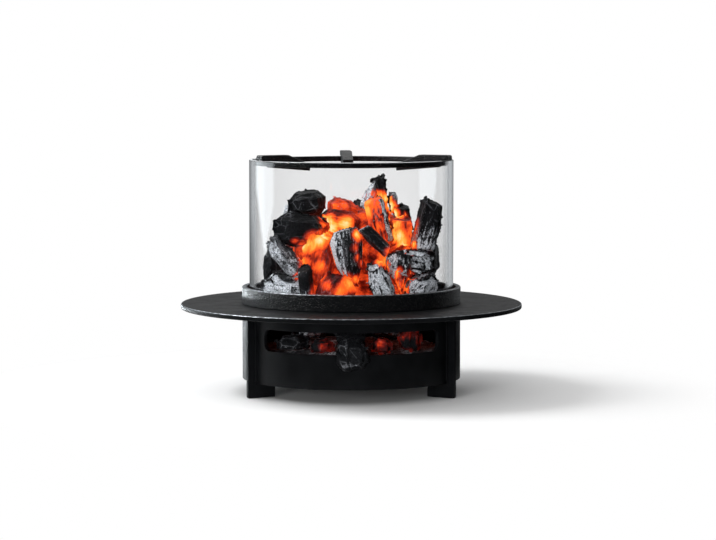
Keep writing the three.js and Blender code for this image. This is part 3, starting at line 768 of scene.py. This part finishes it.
def studio_panel(name, strength, low, high, blurred=False):
    """A white panel that fades out between two heights. A blurred one isn't mirrored by glass."""
    recipe = Recipe(name)
    tint = recipe.mix(recipe.noise(2, 2), (0.86, 0.94, 1.0), (0.9, 0.97, 1.0))
    level = recipe.ease(recipe.coordinate("Z"), low, high, strength, 0.0)
    surface = recipe.add("Emission", {"Color": tint, "Strength": level})
    if blurred:
        sharp = recipe.add("LightPath").outputs["Is Singular Ray"]
        surface = recipe.blend(sharp, surface, recipe.add("BsdfTransparent"))
    return recipe.show(surface)


STEEL, IRON, RUBBED_AND_LIT = "Painted steel", "Cast iron", "Rubbed edge"
GLASS, GROUND_AND_LIT = "Clear glass", "Ground glass"
GASKET, CHARCOAL, ASH = "Woven gasket", "Burning charcoal", "Wood ash"
BUILDERS = {
    STEEL: painted_steel,
    IRON: cast_iron,
    RUBBED_AND_LIT: rubbed_edge_and_highlight,
    GLASS: clear_glass,
    GROUND_AND_LIT: ground_rim_and_highlight,
    GASKET: woven_gasket,
    CHARCOAL: burning_charcoal,
    ASH: wood_ash,
}


def material(name):
    if name not in bpy.data.materials:
        BUILDERS[name](Recipe(name))
    return bpy.data.materials[name]


def finish_rim(piece, finish, level, reach=0.0):
    """Gives a second finish to the faces above a level and further out than a reach."""
    piece.data.materials.append(material(finish))
    with editing(piece):
        pick(piece, lambda at: at.z > level and math.hypot(at.x, at.y) > reach, "FACE")
        piece.active_material_index = 1
        bpy.ops.object.material_slot_assign()


# Metalwork


def slot_cutter(radius, middle_height):
    """A block as tall as the slot, with round corners, bent round the drum."""
    sizes = settings("sizes")
    width = radius * sizes.slot_angle
    deselect()
    bpy.ops.mesh.primitive_cube_add(size=1)
    cutter = named(bpy.context.object, "slot_cutter")
    cutter.scale = (width, 8 * sizes.drum_wall, sizes.slot_height)
    bpy.ops.object.transform_apply()
    with editing(cutter):
        mesh = bmesh.from_edit_mesh(cutter.data)
        bpy.ops.mesh.select_mode(type="EDGE")
        bpy.ops.mesh.select_all(action="DESELECT")
        for edge in mesh.edges:
            edge.select_set(abs(edge.verts[0].co.y - edge.verts[1].co.y) > NEAR)
        bmesh.update_edit_mesh(cutter.data)
        bpy.ops.mesh.bevel(offset=sizes.slot_corner, segments=8, affect="EDGES")
        for step in range(1, CUTTER_STEPS):
            at = (step / CUTTER_STEPS - 0.5) * width
            cut((at, 0, 0), (1, 0, 0))
    apply_modifier(
        cutter,
        "bend",
        "SIMPLE_DEFORM",
        deform_method="BEND",
        deform_axis="Z",
        angle=sizes.slot_angle,
    )
    cutter.location = (0, -radius, middle_height)
    choose(cutter)
    bpy.ops.object.transform_apply()
    return cutter


def build_drum():
    sizes = settings("sizes")
    low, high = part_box("drum_shell")
    drum = turn(section("drum", high.x - sizes.drum_wall, high.x, low.z, high.z))
    middle = high.z - sizes.slot_below_rim - sizes.slot_height / 2
    cutter = slot_cutter(high.x, middle)
    apply_modifier(drum, "slot", "BOOLEAN", object=cutter, operation="DIFFERENCE", solver="EXACT")
    bpy.data.objects.remove(cutter)
    with editing(drum):
        bpy.ops.mesh.remove_doubles(threshold=NEAR)
    round_edges(drum, sizes.drum_edge, degrees=40)
    settle(drum, STEEL, "base", "black_steel", "drum_shell")


def weld_bead(name, angle, side, low, high):
    """A rippled bead of weld in the corner between a leg's face and the drum."""
    bead_radius = settings("sizes").weld_bead
    deselect()
    bpy.ops.mesh.primitive_cylinder_add(vertices=10, radius=bead_radius, depth=high - low)
    bead = named(bpy.context.object, name)
    ripples = int((high - low) / (bead_radius * RIPPLE))
    with editing(bead):
        for step in range(1, 2 * ripples):
            at = (step / (2 * ripples) - 0.5) * (high - low)
            cut((0, 0, at), (0, 0, 1))
    spacing = (high - low) / ripples
    for vertex in bead.data.vertices:
        swell = 0.84 + 0.16 * abs(math.sin(math.pi * vertex.co.z / spacing))
        vertex.co.x *= swell
        vertex.co.y *= swell
    from_middle = outer_radius("drum_shell") + 0.3 * bead_radius
    from_plate = side * (HALF_PLATE + 0.45 * bead_radius)
    bead.location = (from_middle, from_plate, (low + high) / 2)
    choose(bead)
    bpy.ops.object.transform_apply()
    bead.rotation_euler = (0, 0, angle)
    bpy.ops.object.transform_apply()
    smooth(bead, 50)
    return bead


def build_legs():
    sizes = settings("sizes")
    low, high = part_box("drum_shell")
    for count, side in enumerate(SIDES):
        leg = cast_copy(f"leg_{side}", f"leg_{side}_plate", sizes.plate_edge)
        settle(leg, STEEL, "base", "black_steel", f"leg_{side}")
        angle = math.radians(FIRST_LEG + LEG_STEP * count)
        for hand, way in (("a", -1), ("b", 1)):
            ends = (low.z + WELD_GAP, high.z - WELD_GAP)
            bead = weld_bead(f"weld_{side}_{hand}", angle, way, *ends)
            settle(bead, STEEL, "base", "black_steel")


def build_floor_pan():
    sizes = settings("sizes")
    low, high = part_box("floor_pan")
    pan = section("pan", 0, high.x, low.z, low.z + sizes.pan_sheet)
    inner = high.x - sizes.pan_sheet
    step_out(pan, inner, high.x, low.z + sizes.pan_sheet, high.z - low.z - sizes.pan_sheet)
    for radius in (inner, high.x):
        round_corner(pan, radius, high.z, sizes.pan_edge, 3)
    turn(pan)
    settle(pan, STEEL, "base", "black_steel", "floor_pan")


def build_grate():
    grate = cast_copy("fire_grate", "grate", settings("sizes").cast_edge, 2)
    settle(grate, IRON, "grate", "cast_iron", "fire_grate")


def build_tray():
    sizes = settings("sizes")
    low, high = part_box("tray_plate")
    tray = section("tray", sizes.tray_bore, high.x, low.z, high.z)
    for height in (low.z, high.z):
        round_corner(tray, high.x, height, sizes.tray_edge, 5)
        round_corner(tray, sizes.tray_bore, height, sizes.plate_edge, 2)
    turn(tray)
    settle(tray, STEEL, "tray", "black_steel", "tray_plate")
    finish_rim(tray, RUBBED_AND_LIT, high.z - 0.5 * sizes.tray_edge, high.x - 0.9 * sizes.tray_edge)


def build_collar():
    sizes = settings("sizes")
    low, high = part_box("glass_collar")
    bottom = low.z + sizes.spigot_depth
    ledge = bottom + sizes.collar_ledge
    collar = section("collar", sizes.collar_bore, high.x, bottom, ledge)
    pocket = high.x - sizes.collar_wall
    spigot = sizes.collar_bore + sizes.spigot_wall
    step_out(collar, sizes.collar_bore, spigot, bottom, -sizes.spigot_depth)
    step_out(collar, pocket, high.x, ledge, high.z - ledge)
    for radius in (pocket, high.x):
        round_corner(collar, radius, high.z, sizes.collar_edge, 5)
    round_corner(collar, high.x, bottom, sizes.plate_edge, 3)
    for radius in (sizes.collar_bore, spigot):
        round_corner(collar, radius, low.z, sizes.plate_edge, 2)
    round_corner(collar, sizes.collar_bore, ledge, sizes.plate_edge, 3)
    turn(collar)
    settle(collar, IRON, "collar", "cast_iron", "glass_collar")
    finish_rim(collar, RUBBED_AND_LIT, high.z - 0.6 * sizes.collar_edge)


def build_gasket():
    sizes = settings("sizes")
    gasket = ring("gasket", "glass_gasket", sizes.gasket_bore, sizes.gasket_edge, 3)
    settle(gasket, GASKET, "collar", "gasket", "glass_gasket")


def build_glass():
    sizes = settings("sizes")
    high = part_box("glass_cylinder")[1]
    bore = high.x - sizes.glass_wall
    glass = ring("glass", "glass_cylinder", bore, sizes.glass_edge, 6, 2 * sizes.turn_steps)
    settle(glass, GLASS, "glass", "clear_glass", "glass_cylinder")
    finish_rim(glass, GROUND_AND_LIT, high.z - 0.35 * sizes.glass_edge)


def build_pan_rest():
    sizes = settings("sizes")
    bore = outer_radius("trivet_ring") - sizes.hoop_wall
    hoop = ring("hoop", "trivet_ring", bore, sizes.cast_edge, 3)
    settle(hoop, IRON, "pan_rest", "cast_iron", "trivet_ring")
    for side in SIDES:
        node = f"trivet_arm_{side}"
        arm = cast_copy(node, f"arm_{side}", sizes.cast_edge)
        settle(arm, IRON, "pan_rest", "cast_iron", node)


# Charcoal


def long_axes(points):
    """A lump's middle, and a turn whose Z axis runs along its length."""
    middle = points.mean(0)
    values, vectors = np.linalg.eigh(np.cov((points - middle).T))
    axes = vectors[:, np.argsort(values)]
    for column in range(3):
        if axes[np.argmax(np.abs(axes[:, column])), column] < 0:
            axes[:, column] *= -1
    if np.linalg.det(axes) < 0:
        axes[:, 0] *= -1
    return middle, axes


def rows_of(elements, key):
    rows = np.empty(3 * len(elements), np.float32)
    elements.foreach_get(key, rows)
    return rows.reshape(-1, 3).astype(float)


def texture(name, kind, **values):
    made = bpy.data.textures.get(name) or bpy.data.textures.new(name, kind)
    for key, value in values.items():
        setattr(made, key, value)
    return made


def place_guide(guide, middle, axes, size, stretch, seed):
    """Sets the empty that a texture is read from: along the lump, scaled, and moved by its seed."""
    turned = Matrix([[float(axes[row][column]) for column in range(3)] for row in range(3)])
    scale = Matrix.Diagonal((size, size, size * stretch))
    shifted = Vector(middle) + turned @ scale @ Vector((seed * 3.7 % 11, seed * 5.3 % 13, seed))
    guide.matrix_world = Matrix.Translation(shifted) @ (turned @ scale).to_4x4()
    bpy.context.view_layer.update()


@contextmanager
def texture_guide():
    """An empty whose place and turn the textures follow."""
    deselect()
    bpy.ops.object.empty_add()
    guide = bpy.context.object
    yield guide
    bpy.data.objects.remove(guide)


def break_in(piece, name, made, guide, depth):
    """Moves the faces inwards by a texture that is read from a guide."""
    apply_modifier(
        piece,
        name,
        "DISPLACE",
        texture=made,
        texture_coords="OBJECT",
        texture_coords_object=guide,
        strength=depth,
        mid_level=1.0,
    )


def roughen(piece, guide, middle, axes, finish, seed):
    """Breaks a lump's faces inwards: chips and hollows, then cracks, then the wood's grain."""
    charcoal = settings("charcoal")
    grain = charcoal.grain_size
    # Each pass: name, texture, size, stretch, depth, and weights of the two nearest cells.
    passes = (
        ("chips", "VORONOI", charcoal.lump_size, 1.5, 0.6 * finish.hollow, 1.0, 0.0),
        ("hollows", "CLOUDS", charcoal.lump_size, 1.6, finish.hollow, 0.0, 0.0),
        ("cracks", "VORONOI", charcoal.crack_size, 2.2, finish.crack, -1.0, 1.0),
        ("grain", "CLOUDS", grain, charcoal.grain_stretch, finish.grain, 0.0, 0.0),
        ("crumbs", "CLOUDS", grain, 1.3, 0.5 * finish.grain, 0.0, 0.0),
    )
    for name, kind, size, stretch, depth, first, second in passes:
        if name == "grain":
            apply_modifier(piece, "wear", "SMOOTH", factor=0.5, iterations=4)
        made = texture(name, kind, noise_scale=1.0, contrast=1.7)
        if kind == "VORONOI":
            made.weight_1, made.weight_2 = first, second
            made.noise_intensity = 1.0
            made.contrast = 2.4 if second else 1.2
            made.intensity = 1.25 if second else 1.0
        else:
            made.noise_depth = 3
        place_guide(guide, middle, axes, size, stretch, seed)
        break_in(piece, name, made, guide, depth * MILLIMETRE)


def write_attribute(mesh, name, values, kind="FLOAT"):
    attribute = mesh.attributes.new(name, kind, "POINT")
    key = "value" if kind == "FLOAT" else "vector"
    attribute.data.foreach_set(key, np.ascontiguousarray(values, np.float32).ravel())


def ember_tree(lumps):
    """All the faces of the lumps that glow by themselves, for measuring how near one is."""
    points, faces = [], []
    for node, finish in lumps.items():
        if FINISHES[finish].heat > GLOWS_ABOVE:
            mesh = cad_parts[node].data
            start = len(points)
            points += [vertex.co.copy() for vertex in mesh.vertices]
            faces += [[start + corner for corner in face.vertices] for face in mesh.polygons]
    return BVHTree.FromPolygons(points, faces)


def ridges(mesh, points, normals, cell, rounds=3):
    """How far each place stands out from its surroundings: 1 on a sharp ridge, -1 in a crack."""
    edges = np.empty(2 * len(mesh.edges), np.int32)
    mesh.edges.foreach_get("vertices", edges)
    first, second = edges.reshape(-1, 2).T
    count = np.bincount(edges, minlength=len(points)).astype(float)[:, None]
    around = points
    for _ in range(rounds):
        total = np.zeros_like(points)
        np.add.at(total, first, around[second])
        np.add.at(total, second, around[first])
        around = total / np.maximum(count, 1)
    proud = ((points - around) * normals).sum(1) / (0.5 * cell)
    return np.clip(proud, -1, 1)


def burn(piece, middle, axes, finish, embers, cell, seed):
    """Writes where the lump glows, where ash lies on it, how pale it is and where it stands out."""
    charcoal = settings("charcoal")
    points = rows_of(piece.data.vertices, "co")
    normals = rows_of(piece.data.vertex_normals, "vector")
    glows = finish.heat > GLOWS_ABOVE
    heat = np.full(len(points), finish.heat)
    reach = charcoal.ember_reach if glows else charcoal.edge_reach
    for *place, hot in HOT_SPOTS:
        away = points - np.array(place) * MILLIMETRE
        heat = np.maximum(heat, hot * np.exp(-((away**2).sum(1)) / reach**2))
    if not glows:
        gaps = np.array([embers.find_nearest(Vector(point))[3] for point in points])
        heat = np.maximum(heat, finish.creep * np.exp(-gaps / charcoal.glow_creep))
    height = points[:, 2]
    foot = 1 - 2 * (height - height.min()) / (height.max() - height.min())
    cooled = finish.cool * np.clip(normals[:, 0] - 0.1, 0, 1) + finish.top * np.clip(-foot, 0, 1)
    heat = heat - cooled
    # More ash on the left, the lamp side: partly ash, partly painted light on the lit side.
    ash = finish.ash - finish.left * normals[:, 0] + finish.up * normals[:, 2] + finish.foot * foot
    grain = (points - middle) @ axes + np.array(GRAIN_SHIFT) * seed
    write_attribute(piece.data, "ember_heat", heat)
    write_attribute(piece.data, "ash_share", np.clip(ash, 0, 1))
    write_attribute(piece.data, "paleness", np.full(len(points), finish.pale))
    write_attribute(piece.data, "ridge", ridges(piece.data, points, normals, cell))
    write_attribute(piece.data, "grain_place", grain, "FLOAT_VECTOR")


def skin(node, name, cell):
    """A copy of a node of the frame, remeshed in even cells to be broken up."""
    piece = cast_copy(node, name, 0)
    apply_modifier(piece, "skin", "REMESH", mode="VOXEL", voxel_size=cell)
    return piece


def slot_of(kind):
    if kind in EMBER_FINISHES:
        return "ember"
    return "ashen_charcoal" if kind in ASHEN_FINISHES else "charcoal"


def build_lumps(lumps, body, prefix):
    charcoal = settings("charcoal")
    embers = ember_tree(lumps)
    with texture_guide() as guide:
        for seed, (node, kind) in enumerate(lumps.items(), start=1):
            finish = FINISHES[kind]
            cell = charcoal.coarse_cell if kind == "core" else charcoal.fine_cell
            piece = skin(node, prefix + node, cell)
            apply_modifier(piece, "ease", "SMOOTH", factor=0.5, iterations=3)
            middle, axes = long_axes(rows_of(piece.data.vertices, "co"))
            roughen(piece, guide, middle, axes, finish, seed)
            burn(piece, middle, axes, finish, embers, cell, seed)
            choose(piece)
            bpy.ops.object.shade_smooth()
            settle(piece, CHARCOAL, body, slot_of(kind), node)


def build_ash_bed():
    ash = skin("ash_bed", "ash", ASH_CELL)
    with texture_guide() as guide:
        for name, size, depth in ASH_RELIEF:
            made = texture(name, "CLOUDS", noise_scale=1.0, noise_depth=3, contrast=1.6)
            place_guide(guide, (0, 0, 0), np.eye(3), size, 1.0, 3)
            break_in(ash, name, made, guide, depth)
    choose(ash)
    bpy.ops.object.shade_smooth()
    settle(ash, ASH, "base", "ash", "ash_bed")


# Stage


def area_lamp(name, place, target, width, height, power):
    data = bpy.data.lights.new(name, "AREA")
    data.shape = "RECTANGLE"
    data.size, data.size_y, data.energy = width, height, power
    lamp = put_in_scene(name, data)
    lamp.location = place
    lamp.rotation_mode = "QUATERNION"
    lamp.rotation_quaternion = (Vector(target) - lamp.location).to_track_quat("-Z", "Y")
    return lamp


def build_camera():
    data = bpy.data.cameras.new("camera")
    camera = put_in_scene("camera", data)
    data.sensor_width = SENSOR_WIDTH
    data.lens = SENSOR_WIDTH * LENS_PIXELS / PHOTO_WIDTH
    data.shift_x = (PHOTO_WIDTH / 2 - OBJECT_COLUMN) / PHOTO_WIDTH
    camera.location = CAMERA_PLACE
    camera.rotation_euler = (math.radians(90 - CAMERA_TILT), 0, 0)
    bpy.context.scene.camera = camera


def build_world():
    world = bpy.data.worlds.new("studio")
    bpy.context.scene.world = world
    world.use_nodes = True
    world.node_tree.nodes.clear()
    sky = Nodes(world.node_tree)
    light = sky.add("Background", {"Color": (1, 1, 1), "Strength": settings("stage").ambient})
    white = sky.add("Background", {"Color": (1, 1, 1), "Strength": 1.0})
    both = sky.blend(sky.seen(), light, white)
    sky.add("OutputWorld", {"Surface": both.outputs[0]})


def wall(name, made, reach, left, right, low, high, foot=0.0):
    """A curved wall between two angles in degrees, counted from the front to the right.

    A foot, given by its reach, runs inwards from the wall's lower edge over the floor.
    """
    left, right = math.radians(left), math.radians(right)
    deselect()
    bpy.ops.mesh.primitive_plane_add(size=1)
    piece = named(bpy.context.object, name)
    with editing(piece):
        pick(piece, lambda at: at.x > 0)
        bpy.ops.mesh.delete(type="VERT")
    start = (reach * math.sin(left), -reach * math.cos(left))
    for vertex, height in zip(piece.data.vertices, (low, high), strict=True):
        vertex.co = (*start, height)
    with editing(piece):
        if foot:
            pick(piece, lambda at: at.z < (low + high) / 2)
            inwards = (foot / reach - 1) * Vector((*start, 0))
            bpy.ops.mesh.extrude_region_move(TRANSFORM_OT_translate={"value": inwards})
        spin(WALL_STEPS, left - right)
    piece.data.materials.append(made)
    piece.visible_camera = piece.visible_shadow = False
    return piece


def build_cards():
    """What the glass and the metal mirror: black in front, grey behind, white on the left."""
    black = studio_card("Black cloth", 0.004, 0.004)
    grey = studio_card("Grey cloth", 0.7, 0.09)
    pale = studio_card("Pale cloth", 0.6, 0.6)
    # Each cloth: name, look, reach, left, right, low, high, and the reach of its foot.
    cloths = (
        ("left_cloth", black, CLOTH_REACH, -134, -75, CARD_FOOT, 3.0, 0.95),
        ("front_cloth", black, CLOTH_REACH, -75, 132, CARD_FOOT, 3.0, 0.2),
        ("right_cloth", pale, CLOTH_REACH, 132, 165, CARD_FOOT, 1.5, 1.3),
        ("floor_cloth", black, 1.3, 112, 180, CARD_FOOT, 2 * CARD_FOOT, 0.2),
        ("back_cloth", grey, CLOTH_REACH, 165, 226, CARD_FOOT, 1.5, 1.3),
    )
    for cloth in cloths:
        wall(*cloth).visible_diffuse = False
    light = settings("stage").panel_light
    strip = studio_panel("Low strip", 20 * light, 0.03, 0.06, blurred=True)
    wall("low_strip", strip, PANEL_REACH, -155, -112, 0.014, 0.06)
    white = studio_panel("White panel", light, 0.88, 0.9)
    panel = wall("tall_panel", white, PANEL_REACH, -131, -94, 0.085, 0.9)
    # The panel's lower edge rises to both sides.
    for vertex in panel.data.vertices:
        if vertex.co.z < 0.2:
            away = math.atan2(-vertex.co.x, -vertex.co.y) - math.radians(PANEL_MIDDLE)
            vertex.co.z += PANEL_RISE * abs(away)


def build_stage():
    stage = settings("stage")
    deselect()
    bpy.ops.mesh.primitive_circle_add(vertices=96, radius=FLOOR_RADIUS, fill_type="NGON")
    floor = named(bpy.context.object, "studio_floor")
    with editing(floor):
        bpy.ops.mesh.inset(thickness=FLOOR_INSET)
    floor.data.materials.append(studio_floor("Studio floor"))
    build_cards()
    area_lamp("key", (-1.3, 0.05, 1.3), (0, 0, 0.14), 0.9, 0.9, stage.key_power)
    fill = area_lamp("fill", (-0.8, -1.85, 0.26), (0, 0, 0.18), 0.7, 0.4, stage.fill_power)
    fill.visible_glossy = fill.visible_transmission = False
    build_world()
    build_camera()
    bpy.context.scene.view_settings.view_transform = "Standard"


# The add-on


class FIREPIT_OT_drum(bpy.types.Operator):
    """Model the drum with its air slot"""

    bl_idname = "firepit.drum"
    bl_label = "Drum"
    bl_options = {"REGISTER", "UNDO"}

    def execute(self, context):
        build_drum()
        return {"FINISHED"}


class FIREPIT_OT_legs(bpy.types.Operator):
    """Model the three legs and their weld beads"""

    bl_idname = "firepit.legs"
    bl_label = "Legs"
    bl_options = {"REGISTER", "UNDO"}

    def execute(self, context):
        build_legs()
        return {"FINISHED"}


class FIREPIT_OT_floor_pan(bpy.types.Operator):
    """Model the pan that closes the drum's bottom"""

    bl_idname = "firepit.floor_pan"
    bl_label = "Floor pan"
    bl_options = {"REGISTER", "UNDO"}

    def execute(self, context):
        build_floor_pan()
        return {"FINISHED"}


class FIREPIT_OT_ash_bed(bpy.types.Operator):
    """Model the ash that lies in the pan"""

    bl_idname = "firepit.ash_bed"
    bl_label = "Ash bed"
    bl_options = {"REGISTER", "UNDO"}

    def execute(self, context):
        build_ash_bed()
        return {"FINISHED"}


class FIREPIT_OT_dropped(bpy.types.Operator):
    """Model the embers and cinders that have dropped into the drum"""

    bl_idname = "firepit.dropped"
    bl_label = "Dropped embers"
    bl_options = {"REGISTER", "UNDO"}

    def execute(self, context):
        build_lumps(DROPPED, "base", "dropped_")
        return {"FINISHED"}


class FIREPIT_OT_grate(bpy.types.Operator):
    """Model the cast fire grate"""

    bl_idname = "firepit.grate"
    bl_label = "Fire grate"
    bl_options = {"REGISTER", "UNDO"}

    def execute(self, context):
        build_grate()
        return {"FINISHED"}


class FIREPIT_OT_pile(bpy.types.Operator):
    """Model the burning charcoal on the grate"""

    bl_idname = "firepit.pile"
    bl_label = "Charcoal"
    bl_options = {"REGISTER", "UNDO"}

    def execute(self, context):
        build_lumps(PILE, "grate", "pile_")
        return {"FINISHED"}


class FIREPIT_OT_tray(bpy.types.Operator):
    """Model the round serving tray"""

    bl_idname = "firepit.tray"
    bl_label = "Tray"
    bl_options = {"REGISTER", "UNDO"}

    def execute(self, context):
        build_tray()
        return {"FINISHED"}


class FIREPIT_OT_collar(bpy.types.Operator):
    """Model the cast collar that holds the glass"""

    bl_idname = "firepit.collar"
    bl_label = "Collar"
    bl_options = {"REGISTER", "UNDO"}

    def execute(self, context):
        build_collar()
        return {"FINISHED"}


class FIREPIT_OT_gasket(bpy.types.Operator):
    """Model the gasket that the glass stands on"""

    bl_idname = "firepit.gasket"
    bl_label = "Gasket"
    bl_options = {"REGISTER", "UNDO"}

    def execute(self, context):
        build_gasket()
        return {"FINISHED"}


class FIREPIT_OT_glass(bpy.types.Operator):
    """Model the glass cylinder"""

    bl_idname = "firepit.glass"
    bl_label = "Glass"
    bl_options = {"REGISTER", "UNDO"}

    def execute(self, context):
        build_glass()
        return {"FINISHED"}


class FIREPIT_OT_pan_rest(bpy.types.Operator):
    """Model the hoop and the three arms of the pan rest"""

    bl_idname = "firepit.pan_rest"
    bl_label = "Pan rest"
    bl_options = {"REGISTER", "UNDO"}

    def execute(self, context):
        build_pan_rest()
        return {"FINISHED"}


class FIREPIT_OT_stage(bpy.types.Operator):
    """Set up the floor, cloths, panels, lamps, world and camera"""

    bl_idname = "firepit.stage"
    bl_label = "Stage"
    bl_options = {"REGISTER", "UNDO"}

    def execute(self, context):
        build_stage()
        return {"FINISHED"}


OPERATORS = (
    FIREPIT_OT_drum,
    FIREPIT_OT_legs,
    FIREPIT_OT_floor_pan,
    FIREPIT_OT_ash_bed,
    FIREPIT_OT_dropped,
    FIREPIT_OT_grate,
    FIREPIT_OT_pile,
    FIREPIT_OT_tray,
    FIREPIT_OT_collar,
    FIREPIT_OT_gasket,
    FIREPIT_OT_glass,
    FIREPIT_OT_pan_rest,
    FIREPIT_OT_stage,
)
GROUPS = {
    "sizes": FirePitSizes,
    "charcoal": FirePitCharcoal,
    "colours": FirePitColours,
    "stage": FirePitStage,
}


class FIREPIT_PT_panel(bpy.types.Panel):
    """Lists the pieces and their settings"""

    bl_label = "Fire Pit"
    bl_idname = "FIREPIT_PT_panel"
    bl_space_type = "VIEW_3D"
    bl_region_type = "UI"
    bl_category = "Fire Pit"

    def draw(self, context):
        for operator in OPERATORS:
            self.layout.operator(operator.bl_idname)
        for name, group in GROUPS.items():
            box = self.layout.box()
            box.label(text=group.__doc__)
            for key in group.__annotations__:
                box.prop(getattr(context.scene, "fire_pit_" + name), key)


def register():
    for name, group in GROUPS.items():
        bpy.utils.register_class(group)
        setattr(bpy.types.Scene, "fire_pit_" + name, bpy.props.PointerProperty(type=group))
    for operator in OPERATORS:
        bpy.utils.register_class(operator)
    bpy.utils.register_class(FIREPIT_PT_panel)


def unregister():
    bpy.utils.unregister_class(FIREPIT_PT_panel)
    for operator in reversed(OPERATORS):
        bpy.utils.unregister_class(operator)
    for name, group in GROUPS.items():
        delattr(bpy.types.Scene, "fire_pit_" + name)
        bpy.utils.unregister_class(group)


def main():
    register()
    for operator in OPERATORS:
        group, name = operator.bl_idname.split(".")
        getattr(getattr(bpy.ops, group), name)()
    deselect()


if __name__ == "__main__":
    main()
